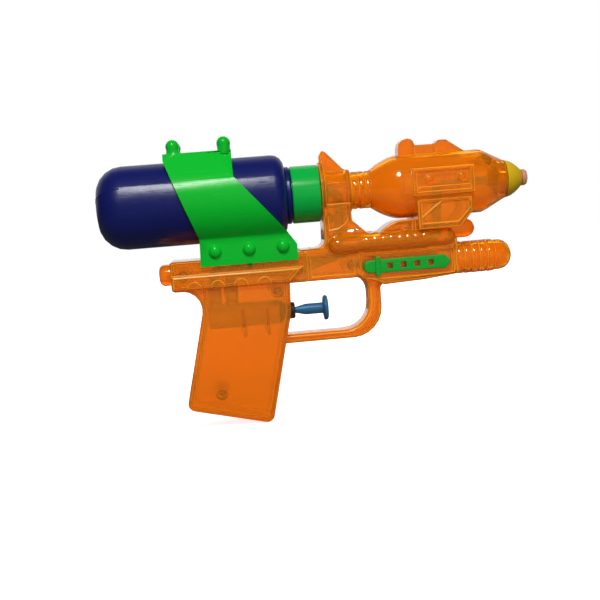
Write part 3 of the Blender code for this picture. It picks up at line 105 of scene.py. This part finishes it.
class Finish:
    def __init__(self, owner, outputKind="ShaderNodeOutputMaterial"):
        owner.use_nodes = True
        self.owner = owner
        self.tree = owner.node_tree
        self.tree.nodes.clear()
        self.output = self.tree.nodes.new(outputKind)

    def add(self, kind, settings=None, sockets=None, out=0):
        node = self.tree.nodes.new(kind)
        for key, value in (settings or {}).items():
            if key == "stops":
                ramp = node.color_ramp.elements
                while len(ramp) < len(value):
                    ramp.new(0.5)
                for stop, (place, colour) in zip(ramp, value):
                    stop.position = place
                    stop.color = colour
            else:
                setattr(node, key, value)
        for key, value in (sockets or {}).items():
            if isinstance(value, Socket):
                self.tree.links.new(value.socket, node.inputs[key])
            else:
                node.inputs[key].default_value = value
        return Socket(self, node.outputs[out])

    # a colour mix: its factor, colours and result are sockets 0, 6, 7 and 2 of the node
    def mix(self, factor, first, second):
        return self.add("ShaderNodeMix", {"data_type": "RGBA"}, {0: factor, 6: first, 7: second}, out=2)

    def surface(self, shader):
        self.tree.links.new(shader.socket, self.output.inputs["Surface"])
        return self.owner


def rgb(red, green, blue):
    return (red, green, blue, 1.0)


# moulded plastic: slow colour drift, uneven gloss, fine skin and hair scratches along X
plasticSkin = {
    "driftDetail": 3.0, "skinDetail": 2.0, "scratchDetail": 1.0, "scratchScale": (90.0, 900.0, 900.0),
    "scratchFrom": 0.66, "scratchTo": 0.74, "scratchDepth": -0.15, "bumpReach": 0.0003,
    "ior": 1.48, "shine": 0.5, "coatRough": 0.03,
}


def mouldedPlastic(name, look):
    finish = Finish(bpy.data.materials.new(name))
    coords = finish.add("ShaderNodeTexCoord", out="Object")

    def noise(vector, scale, detail):
        return finish.add("ShaderNodeTexNoise", None, {"Vector": vector, "Scale": scale, "Detail": detail})

    drift = noise(coords, look["driftScale"], plasticSkin["driftDetail"])
    skin = noise(coords, look["skinScale"], plasticSkin["skinDetail"])
    alongX = finish.add("ShaderNodeMapping", None, {"Vector": coords, "Scale": plasticSkin["scratchScale"]})
    scratch = noise(alongX, 1.0, plasticSkin["scratchDetail"])
    stops = [(plasticSkin["scratchFrom"], rgb(0, 0, 0)), (plasticSkin["scratchTo"], rgb(1, 1, 1))]
    worn = finish.add("ShaderNodeValToRGB", {"stops": stops}, {"Fac": scratch})
    colour = finish.mix(drift, look["colour"], look["colour2"])
    rough = look["rough"] + drift * look["roughDrift"] + worn * look["scratch"]
    height = skin + worn * plasticSkin["scratchDepth"]
    bump = finish.add(
        "ShaderNodeBump", None,
        {"Strength": look["bump"], "Distance": plasticSkin["bumpReach"], "Height": height},
    )
    shader = finish.add(
        "ShaderNodeBsdfPrincipled",
        None,
        {
            "Base Color": colour,
            "Roughness": rough,
            "Normal": bump,
            "IOR": look.get("ior", plasticSkin["ior"]),
            "Transmission Weight": look.get("clear", 0.0),
            "Specular IOR Level": look.get("shine", plasticSkin["shine"]),
            "Coat Weight": look.get("coat", 0.0),
            "Coat Roughness": plasticSkin["coatRough"],
            "Metallic": look.get("metal", 0.0),
        },
    )
    return finish.surface(shader)


looks = {
    "clear_orange": {
        "colour": rgb(0.93, 0.365, 0.006), "colour2": rgb(0.885, 0.31, 0.004),
        "driftScale": 40.0, "skinScale": 260.0, "rough": 0.10, "roughDrift": 0.08,
        "scratch": 0.12, "bump": 0.10, "clear": 0.74, "ior": 1.36, "coat": 0.8,
    },
    # lighter, less clear copy of the orange for softened edges and rib creases: a painted highlight
    "orange_painted_highlight": {
        "colour": rgb(0.98, 0.40, 0.016), "colour2": rgb(0.94, 0.34, 0.012),
        "driftScale": 60.0, "skinScale": 400.0, "rough": 0.16, "roughDrift": 0.10,
        "scratch": 0.05, "bump": 0.05, "clear": 0.30, "ior": 1.40,
    },
    "pale_orange": {
        "colour": rgb(0.74, 0.36, 0.22), "colour2": rgb(0.66, 0.29, 0.17),
        "driftScale": 60.0, "skinScale": 400.0, "rough": 0.30, "roughDrift": 0.10,
        "scratch": 0.05, "bump": 0.10, "clear": 0.25, "ior": 1.40,
    },
    "green": {
        "colour": rgb(0.003, 0.49, 0.027), "colour2": rgb(0.002, 0.43, 0.022),
        "driftScale": 25.0, "skinScale": 420.0, "rough": 0.17, "roughDrift": 0.10,
        "scratch": 0.15, "bump": 0.10, "shine": 0.24,
    },
    "deep_green": {
        "colour": rgb(0.003, 0.38, 0.026), "colour2": rgb(0.002, 0.33, 0.021),
        "driftScale": 25.0, "skinScale": 420.0, "rough": 0.20, "roughDrift": 0.12,
        "scratch": 0.15, "bump": 0.10,
    },
    "sea_green": {
        "colour": rgb(0.003, 0.43, 0.055), "colour2": rgb(0.003, 0.37, 0.044),
        "driftScale": 25.0, "skinScale": 420.0, "rough": 0.16, "roughDrift": 0.10,
        "scratch": 0.15, "bump": 0.10, "shine": 0.30,
    },
    "navy": {
        "colour": rgb(0.004, 0.009, 0.115), "colour2": rgb(0.003, 0.006, 0.092),
        "driftScale": 30.0, "skinScale": 300.0, "rough": 0.25, "roughDrift": 0.14,
        "scratch": 0.20, "bump": 0.22,
    },
    "yellow": {
        "colour": rgb(0.66, 0.43, 0.006), "colour2": rgb(0.58, 0.36, 0.005),
        "driftScale": 60.0, "skinScale": 500.0, "rough": 0.34, "roughDrift": 0.12,
        "scratch": 0.10, "bump": 0.12, "shine": 0.30,
    },
    "blue": {
        "colour": rgb(0.022, 0.14, 0.29), "colour2": rgb(0.018, 0.11, 0.24),
        "driftScale": 70.0, "skinScale": 500.0, "rough": 0.30, "roughDrift": 0.12,
        "scratch": 0.15, "bump": 0.12, "shine": 0.30,
    },
    "black_plastic": {
        "colour": rgb(0.016, 0.016, 0.018), "colour2": rgb(0.024, 0.024, 0.026),
        "driftScale": 80.0, "skinScale": 600.0, "rough": 0.40, "roughDrift": 0.15,
        "scratch": 0.10, "bump": 0.15,
    },
    "black_rubber": {
        "colour": rgb(0.016, 0.016, 0.017), "colour2": rgb(0.026, 0.025, 0.025),
        "driftScale": 90.0, "skinScale": 700.0, "rough": 0.70, "roughDrift": 0.15,
        "scratch": 0.05, "bump": 0.25,
    },
    "white": {
        "colour": rgb(0.74, 0.74, 0.70), "colour2": rgb(0.66, 0.66, 0.61),
        "driftScale": 60.0, "skinScale": 500.0, "rough": 0.38, "roughDrift": 0.12,
        "scratch": 0.10, "bump": 0.10,
    },
    "clear_hose": {
        "colour": rgb(0.86, 0.88, 0.86), "colour2": rgb(0.80, 0.82, 0.80),
        "driftScale": 50.0, "skinScale": 300.0, "rough": 0.16, "roughDrift": 0.10,
        "scratch": 0.05, "bump": 0.10, "clear": 0.75, "ior": 1.42,
    },
    "steel": {
        "colour": rgb(0.56, 0.56, 0.57), "colour2": rgb(0.46, 0.46, 0.47),
        "driftScale": 120.0, "skinScale": 900.0, "rough": 0.24, "roughDrift": 0.16,
        "scratch": 0.10, "bump": 0.08, "metal": 1.0,
    },
}
finishes = {slotName: mouldedPlastic(slotName, look) for slotName, look in looks.items()}
print("finishes made:", len(finishes))


def deselectAll():
    if bpy.context.object and bpy.context.object.mode != "OBJECT":
        bpy.ops.object.mode_set(mode="OBJECT")
    bpy.ops.object.select_all(action="DESELECT")


def activate(obj):
    deselectAll()
    obj.select_set(True)
    bpy.context.view_layer.objects.active = obj


def inRib(point, rib):
    across = math.hypot(point.y - rib["axis"][0], point.z - rib["axis"][1])
    return rib["from"] < point.x < rib["to"] and rib["inner"] < across < rib["outer"]


def ribPoints(piece, rib):
    return {point.index for point in piece.data.vertices if inRib(point.co, rib)}


# how much softening an edge can carry: less where its faces or its neighbours are small
# none on the ribs, in the plain box and at the joint of the two halves
softRule = {"foldFrom": 44.0, "share": 0.45}


def weighEdges(piece, edge):
    mesh = piece.data
    unsoftened = set()
    for rib in edge.get("ribs", ()):
        unsoftened |= ribPoints(piece, rib)
    if "plain" in edge:
        rear, front, low, high = edge["plain"]
        unsoftened |= {p.index for p in mesh.vertices if rear < p.co.x < front and low < p.co.z < high}
    if "seam" in edge:
        unsoftened |= {p.index for p in mesh.vertices if abs(p.co.y) < edge["seam"]}
    beside = {}
    for face in mesh.polygons:
        for key in face.edge_keys:
            beside.setdefault(key, []).append(face)
    lengths = {}
    room = [1.0] * len(mesh.vertices)
    for line in mesh.edges:
        first, second = line.vertices
        lengths[line.key] = (mesh.vertices[first].co - mesh.vertices[second].co).length
        room[first] = min(room[first], lengths[line.key])
        room[second] = min(room[second], lengths[line.key])
    weights = mesh.attributes.get("bevel_weight_edge")
    if weights is None:
        weights = mesh.attributes.new("bevel_weight_edge", "FLOAT", "EDGE")
    for line in mesh.edges:
        faces = beside.get(line.key, [])
        weight = 0.0
        fold = faces[0].normal.angle(faces[1].normal, 0.0) if len(faces) == 2 else 0.0
        if fold > math.radians(softRule["foldFrom"]) and not unsoftened.issuperset(line.vertices):
            least = min(room[line.vertices[0]], room[line.vertices[1]])
            least = min([least] + [face.area / lengths[line.key] for face in faces])
            weight = min(1.0, softRule["share"] * least / edge["width"])
        weights.data[line.index].value = weight


# 0 on a rib's crest, 1 in the crease between two ribs
def fromCrest(point, rib):
    turns = (point.x - rib["first"]) / rib["pitch"]
    return abs(2.0 * (turns - round(turns)))


# ribs and rings: cut finer along their length and drawn into round beads, whose crests catch the lamp
# each row of cuts: edges longer than the first figure, up to the second, get that many cuts
ribCuts = ((0.004, 1.0, 11), (0.0011, 0.004, 5), (0.00025, 0.0011, 1))
ribForm = {"creasePower": 10, "flatWithin": 4.0, "litSlot": 1}


def waveRibs(piece, rib):
    activate(piece)
    for shortest, longest, cuts in ribCuts:
        held = ribPoints(piece, rib)
        points = piece.data.vertices
        longLines = []
        for line in piece.data.edges:
            first, second = line.vertices
            if first in held and second in held:
                along = abs(points[first].co.x - points[second].co.x)
                if shortest < along <= longest:
                    longLines.append(line.index)
        bpy.ops.object.mode_set(mode="EDIT")
        bpy.ops.mesh.select_mode(type="EDGE")
        bpy.ops.mesh.select_all(action="DESELECT")
        bpy.ops.object.mode_set(mode="OBJECT")
        for index in longLines:
            piece.data.edges[index].select = True
        bpy.ops.object.mode_set(mode="EDIT")
        bpy.ops.mesh.subdivide(number_cuts=cuts)
        bpy.ops.object.mode_set(mode="OBJECT")
    for index in ribPoints(piece, rib):
        point = piece.data.vertices[index].co
        if rib["waveFrom"] < point.x < rib["waveTo"]:
            fall = fromCrest(point, rib)
            away = Vector((0.0, point.y - rib["axis"][0], point.z - rib["axis"][1]))
            bead = rib["proud"] * (1.0 - fall ** rib["power"])
            away.length = rib["base"] + bead - rib["crease"] * fall ** ribForm["creasePower"]
            piece.data.vertices[index].co = (point.x, rib["axis"][0] + away.y, rib["axis"][1] + away.z)
    bpy.ops.object.mode_set(mode="EDIT")
    bpy.ops.mesh.select_all(action="SELECT")
    bpy.ops.mesh.vert_connect_nonplanar(angle_limit=math.radians(ribForm["flatWithin"]))
    bpy.ops.object.mode_set(mode="OBJECT")
    # faces in the creases between beads take the lighter edge orange: painted highlight lines
    for face in piece.data.polygons:
        middle = face.center
        beaded = inRib(middle, rib) and rib["waveFrom"] < middle.x < rib["waveTo"]
        if beaded and fromCrest(middle, rib) > rib["lit"]:
            face.material_index = ribForm["litSlot"]


# a moulding: the solid's own surface, welded, with softened edges and smooth shading
weld = {"gap": 0.000002, "flatWithin": 0.6}


def softMoulding(nodeName, edge):
    source = cadNodes[nodeName]
    piece = bpy.data.objects.new(nodeName + "_moulded", source.data.copy())
    bpy.context.scene.collection.objects.link(piece)
    piece.data.materials.clear()
    for finishName in edge["finishes"]:
        piece.data.materials.append(finishes[finishName])
    activate(piece)
    bpy.ops.object.mode_set(mode="EDIT")
    bpy.ops.mesh.select_all(action="SELECT")
    bpy.ops.mesh.remove_doubles(threshold=weld["gap"])
    bpy.ops.mesh.dissolve_limited(angle_limit=math.radians(weld["flatWithin"]))
    bpy.ops.mesh.vert_connect_concave()
    bpy.ops.object.mode_set(mode="OBJECT")
    for rib in edge.get("ribs", ()):
        waveRibs(piece, rib)
    if "shape" in edge:
        edge["shape"](piece)
    if edge["width"] > 0:
        weighEdges(piece, edge)
        activate(piece)
        bevel = piece.modifiers.new("softEdge", "BEVEL")
        bevel.width = edge["width"]
        bevel.segments = edge["segments"]
        bevel.limit_method = "WEIGHT"
        bevel.use_clamp_overlap = False
        # the bevel's faces take that slot's finish; for the shells it is the painted highlight orange
        bevel.material = edge.get("edgeHighlightSlot", -1)
        bpy.ops.object.modifier_apply(modifier=bevel.name)
    bpy.ops.object.shade_smooth_by_angle(angle=math.radians(edge["smooth"]))
    weighted = piece.modifiers.new("evenShade", "WEIGHTED_NORMAL")
    weighted.keep_sharp = True
    if "ribs" in edge:  # the beads keep their own shading
        group = piece.vertex_groups.new(name="ribs")
        for rib in edge["ribs"]:
            group.add(list(ribPoints(piece, rib)), 1.0, "REPLACE")
        weighted.vertex_group = "ribs"
        weighted.invert_vertex_group = True
    bpy.ops.object.modifier_apply(modifier=weighted.name)
    return piece


# the tank's parting seam: a raised line on the outside, with a small pinch-off at the rear
tankSeam = {
    "lean": 27.0, "axisHeight": 0.073, "middle": -0.012, "stop": 0.022,
    "width": 0.0004, "steps": 4, "proud": 0.00014, "pinch": 0.0005, "pinchReach": 0.003, "pinchDeep": 0.0003,
}


def addTankSeam(piece):
    lean = math.radians(tankSeam["lean"])
    middle = Vector((tankSeam["middle"], 0.0, tankSeam["axisHeight"]))
    activate(piece)
    bpy.ops.object.mode_set(mode="EDIT")
    bpy.ops.mesh.select_mode(type="EDGE")
    bpy.ops.mesh.select_all(action="SELECT")
    bpy.ops.mesh.bisect(plane_co=middle, plane_no=(0.0, math.sin(lean), math.cos(lean)))
    bpy.ops.object.mode_set(mode="OBJECT")
    points = piece.data.vertices
    outside = {p.index for p in points if p.normal.dot(p.co - middle) > 0 and p.co.x < tankSeam["stop"]}
    kept = [line.index for line in piece.data.edges if line.select and outside.issuperset(line.vertices)]
    bpy.ops.object.mode_set(mode="EDIT")
    bpy.ops.mesh.select_all(action="DESELECT")
    bpy.ops.object.mode_set(mode="OBJECT")
    for index in kept:
        piece.data.edges[index].select = True
    bpy.ops.object.mode_set(mode="EDIT")
    bpy.ops.mesh.bevel(offset=tankSeam["width"], segments=tankSeam["steps"], affect="EDGES")
    bpy.ops.mesh.select_mode(type="VERT")
    bpy.ops.mesh.select_less()
    bpy.ops.transform.shrink_fatten(value=tankSeam["proud"])
    bpy.ops.object.mode_set(mode="OBJECT")
    rear = min(p.co.x for p in points)
    for point in piece.data.vertices:
        aside = math.hypot(point.co.y, point.co.z - middle.z)
        atRear = point.co.x < rear + tankSeam["pinchDeep"]
        if point.select and atRear and aside < tankSeam["pinchReach"]:
            point.co.x -= tankSeam["pinch"]


# a cross slot in a screw's head, which lies at its +Y end
crossSlot = {"long": 0.0030, "wide": 0.0006, "deep": 0.0007}


def addCrossSlot(piece):
    top = max(point.co.y for point in piece.data.vertices)
    across = [point.co.x for point in piece.data.vertices]
    upright = [point.co.z for point in piece.data.vertices]
    centre = ((min(across) + max(across)) / 2, top, (min(upright) + max(upright)) / 2)
    for size in ((crossSlot["long"], crossSlot["wide"]), (crossSlot["wide"], crossSlot["long"])):
        deselectAll()
        bpy.ops.mesh.primitive_cube_add(size=1.0, location=centre)
        cutter = bpy.context.object
        cutter.scale = (size[0], 2 * crossSlot["deep"], size[1])
        bpy.ops.object.transform_apply(location=True, rotation=True, scale=True)
        activate(piece)
        slot = piece.modifiers.new("slot", "BOOLEAN")
        slot.operation = "DIFFERENCE"
        slot.solver = "EXACT"
        slot.object = cutter
        bpy.ops.object.modifier_apply(modifier=slot.name)
        bpy.data.objects.remove(cutter)


# the sight's bar lies a little further in than the lugs at its ends
sightBar = {
    "rear": 0.0893, "front": 0.0995, "step": 0.0003, "side": 0.0039, "deep": 0.0006,
    "foot": 0.0875, "top": 0.097, "wall": 0.0009, "beside": 0.0002, "near": 0.00005,
}


def setInSightBar(piece):
    activate(piece)
    barRear = sightBar["rear"] + sightBar["step"]
    barFront = sightBar["front"] - sightBar["step"]
    for place in (sightBar["rear"], barRear, barFront, sightBar["front"]):
        bpy.ops.object.mode_set(mode="EDIT")
        bpy.ops.mesh.select_mode(type="FACE")
        bpy.ops.mesh.select_all(action="DESELECT")
        bpy.ops.object.mode_set(mode="OBJECT")
        for face in piece.data.polygons:
            middle = face.center
            within = abs(middle.y) < sightBar["side"] + sightBar["beside"]
            face.select = within and sightBar["foot"] < middle.z < sightBar["top"]
        bpy.ops.object.mode_set(mode="EDIT")
        bpy.ops.mesh.bisect(plane_co=(place, 0.0, 0.0), plane_no=(1.0, 0.0, 0.0))
        bpy.ops.object.mode_set(mode="OBJECT")
    for point in piece.data.vertices:
        along = barRear - sightBar["near"] < point.co.x < barFront + sightBar["near"]
        onWall = abs(point.co.y) > sightBar["side"] - sightBar["wall"]
        if along and onWall and sightBar["foot"] < point.co.z < sightBar["top"]:
            point.co.y -= math.copysign(sightBar["deep"], point.co.y)


# the lower side panel reaches down over the side tube
panelFoot = {"rear": 0.0865, "front": 0.1135, "side": 0.0128, "low": 0.0525, "high": 0.0545, "drop": 0.0009}


def lowerPanel(piece):
    for point in piece.data.vertices:
        along = panelFoot["rear"] < point.co.x < panelFoot["front"]
        outside = abs(point.co.y) > panelFoot["side"]
        if along and outside and panelFoot["low"] < point.co.z < panelFoot["high"]:
            point.co.z -= panelFoot["drop"]


# the two halves are drawn together, so that no light shows through their joint
shellSeam = {"reach": 0.0002, "gap": 0.00002}


def closeSeam(piece):
    for point in piece.data.vertices:
        if abs(point.co.y) < shellSeam["reach"]:
            point.co.y = math.copysign(shellSeam["gap"], point.co.y)


def shapeShell(piece):
    setInSightBar(piece)
    lowerPanel(piece)
    closeSeam(piece)


# ribs in metres: their axis is given as Y and Z, and the first crest and the pitch lie along X
neckRibs = {
    "axis": (0.0, 0.073), "from": 0.0585, "to": 0.0674, "inner": 0.0079, "outer": 0.0089,
    "first": 0.0602, "pitch": 0.0032, "waveFrom": 0.0586, "waveTo": 0.0667,
    "base": 0.0082, "proud": 0.0005, "power": 3, "crease": 0.0001, "lit": 0.84,
}
barrelRibs = {
    "axis": (0.0, 0.0377), "from": 0.1055, "to": 0.1265, "inner": 0.0070, "outer": 0.0079,
    "first": 0.1076, "pitch": 0.00365, "waveFrom": 0.1058, "waveTo": 0.1240,
    "base": 0.0074, "proud": 0.00028, "power": 2, "crease": 0.0002, "lit": 0.90,
}
tubeRings = {
    "axis": (-0.0084, 0.0486), "from": 0.0493, "to": 0.1008, "inner": 0.0041, "outer": 0.0050,
    "first": 0.0636, "pitch": 0.00383, "waveFrom": 0.0617, "waveTo": 0.0923,
    "base": 0.00446, "proud": 0.00030, "power": 2, "crease": 0.0001, "lit": 1.0,
}
shellRibs = [neckRibs, barrelRibs, tubeRings, dict(tubeRings, axis=(0.0084, 0.0486))]

# edge widths in metres, shading angles in degrees
# the shells' softened edges take a lighter, less clear orange: a painted highlight along each edge
# plain holds the rear, front, low and high of the fin's tip, which stays sharp
shellEdge = {
    "width": 0.00045, "segments": 3, "smooth": 27, "edgeHighlightSlot": 1, "finishes": ("clear_orange", "orange_painted_highlight"),
    "ribs": shellRibs, "shape": shapeShell, "seam": shellSeam["reach"],
    "plain": (0.038, 0.058, 0.0885, 0.100),
}
softEdges = {
    "shell_right": shellEdge,
    "shell_left": shellEdge,
    "nozzle_jet": {"width": 0.0002, "segments": 2, "smooth": 35, "finishes": ("pale_orange",)},
    "tank_saddle": {"width": 0.0, "smooth": 35, "finishes": ("green",)},
    "tank_collar": {"width": 0.00020, "segments": 2, "smooth": 35, "finishes": ("sea_green",)},
    "trim_bar_right": {"width": 0.00020, "segments": 2, "smooth": 35, "finishes": ("deep_green",)},
    "trim_bar_left": {"width": 0.00020, "segments": 2, "smooth": 35, "finishes": ("deep_green",)},
    "tank": {"width": 0.00015, "segments": 2, "smooth": 35, "finishes": ("navy",), "shape": addTankSeam},
}
slotOf = {row["node"]: row["material_slot"] for row in frame["record"]["subparts"]}
bodyOf = {node: body for body, members in frame["record"]["behaviour"]["bodies"].items() for node in members}
pieces = {}
for nodeName in sorted(cadNodes):
    plainEdge = {"width": 0.00015, "segments": 2, "smooth": 35, "finishes": (slotOf[nodeName],)}
    if nodeName.startswith("shell_screw"):
        plainEdge["shape"] = addCrossSlot
    piece = softMoulding(nodeName, softEdges.get(nodeName, plainEdge))
    pieces[nodeName] = piece
    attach(piece, bodyOf[nodeName])
    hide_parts(nodeName)
print("mouldings made")

# the return spring gets a mesh of its own
spring = pieces["return_spring"]
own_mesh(spring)

# pale floor that keeps the shadow, and a white surround
floorLook = {
    "size": 6.0, "below": 0.0005, "lift": 0.78,
    "colour": rgb(0.80, 0.80, 0.80), "bounce": rgb(0.10, 0.10, 0.10),
}
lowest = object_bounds()[0].z
deselectAll()
bpy.ops.mesh.primitive_plane_add(size=floorLook["size"], location=(0.0, 0.0, lowest - floorLook["below"]))
floor = bpy.context.object
floor.name = "floor"
paper = Finish(bpy.data.materials.new("paper"))
cameraRay = paper.add("ShaderNodeLightPath", out="Is Camera Ray")
seenRay = cameraRay + paper.add("ShaderNodeLightPath", out="Is Transmission Ray")
seen = paper.add("ShaderNodeEmission", None, {"Color": rgb(1, 1, 1), "Strength": seenRay * floorLook["lift"]})
paperColour = paper.mix(seenRay, floorLook["bounce"], floorLook["colour"])
matt = paper.add("ShaderNodeBsdfDiffuse", None, {"Color": paperColour})
floor.data.materials.append(paper.surface(paper.add("ShaderNodeAddShader", None, {0: seen, 1: matt})))

# the surround is white to the camera and nearly so through the plastic
# reflections find it dim in front and pale behind, towards +Y
skyLook = {
    "light": 0.27, "white": 1.0, "through": 0.91,
    "mirrored": 0.02, "mirroredBehind": 0.78, "behindFrom": 0.45, "behindTo": 0.9,
}
world = bpy.data.worlds.new("studio")
bpy.context.scene.world = world
sky = Finish(world, "ShaderNodeOutputWorld")
skyCamera = sky.add("ShaderNodeLightPath", out="Is Camera Ray")
skyThrough = sky.add("ShaderNodeLightPath", out="Is Transmission Ray")
skyMirrored = sky.add("ShaderNodeLightPath", out="Is Glossy Ray")
direction = sky.add("ShaderNodeTexCoord", out="Generated")
towards = sky.add("ShaderNodeSeparateXYZ", None, {0: direction}, out="Y")
behind = sky.add(
    "ShaderNodeMapRange", None,
    {"Value": towards, "From Min": skyLook["behindFrom"], "From Max": skyLook["behindTo"]},
)
mirrored = skyLook["mirrored"] + behind * (skyLook["mirroredBehind"] - skyLook["mirrored"])
strength = skyLook["light"] + skyCamera * (skyLook["white"] - skyLook["light"])
strength = strength + skyThrough * (skyLook["through"] - skyLook["light"])
strength = strength + skyMirrored * (mirrored - skyLook["light"])
sky.surface(sky.add("ShaderNodeBackground", None, {"Color": rgb(1, 1, 1), "Strength": strength}))

# lamps aimed at the toy's middle; only the key lamp shows in reflections
lampAim = Vector((0.035, 0.0, 0.04))
lampPlan = {
    "keyLamp": {"at": (-0.07, -0.75, 0.85), "size": 0.26, "watts": 7.8, "mirrored": True},
    "fillLamp": {"at": (0.3, -0.9, 0.2), "size": 0.8, "watts": 3.4, "mirrored": False},
    "backLamp": {"at": (0.1, 0.8, 0.7), "size": 0.8, "watts": 5.0, "mirrored": False},
}
for lampName, plan in lampPlan.items():
    lampData = bpy.data.lights.new(lampName, "AREA")
    lampData.shape = "DISK"
    lampData.size = plan["size"]
    lampData.energy = plan["watts"]
    lamp = bpy.data.objects.new(lampName, lampData)
    bpy.context.scene.collection.objects.link(lamp)
    lamp.location = plan["at"]
    lamp.visible_glossy = plan["mirrored"]
    aim = lampAim - lamp.location
    lamp.rotation_euler = aim.to_track_quat("-Z", "Y").to_euler()
print("floor and lamps placed")

# camera at the photograph's angle: degrees, metres, and millimetres for the lens and its sensor
cameraPlan = {
    "aside": 4.0, "above": 6.0, "roll": 4.5, "at": (-0.00017, -0.44781, 0.07107),
    "lens": 57.6, "sensor": 36.0, "clipFrom": 0.01,
}
aside, above, roll = (math.radians(cameraPlan[key]) for key in ("aside", "above", "roll"))
ahead = Vector((math.sin(aside) * math.cos(above), math.cos(aside) * math.cos(above), -math.sin(above)))
levelRight = Vector((math.cos(aside), -math.sin(aside), 0.0))
levelUp = levelRight.cross(ahead)
right = levelRight * math.cos(roll) - levelUp * math.sin(roll)
up = levelRight * math.sin(roll) + levelUp * math.cos(roll)
cameraData = bpy.data.cameras.new("camera")
cameraData.lens = cameraPlan["lens"]
cameraData.sensor_width = cameraPlan["sensor"]
cameraData.clip_start = cameraPlan["clipFrom"]
camera = bpy.data.objects.new("camera", cameraData)
bpy.context.scene.collection.objects.link(camera)
turn = Matrix((right, up, -ahead)).transposed()
camera.matrix_world = Matrix.Translation(cameraPlan["at"]) @ turn.to_4x4()
bpy.context.scene.camera = camera
bpy.context.scene.view_settings.view_transform = "Standard"

print("scene done")
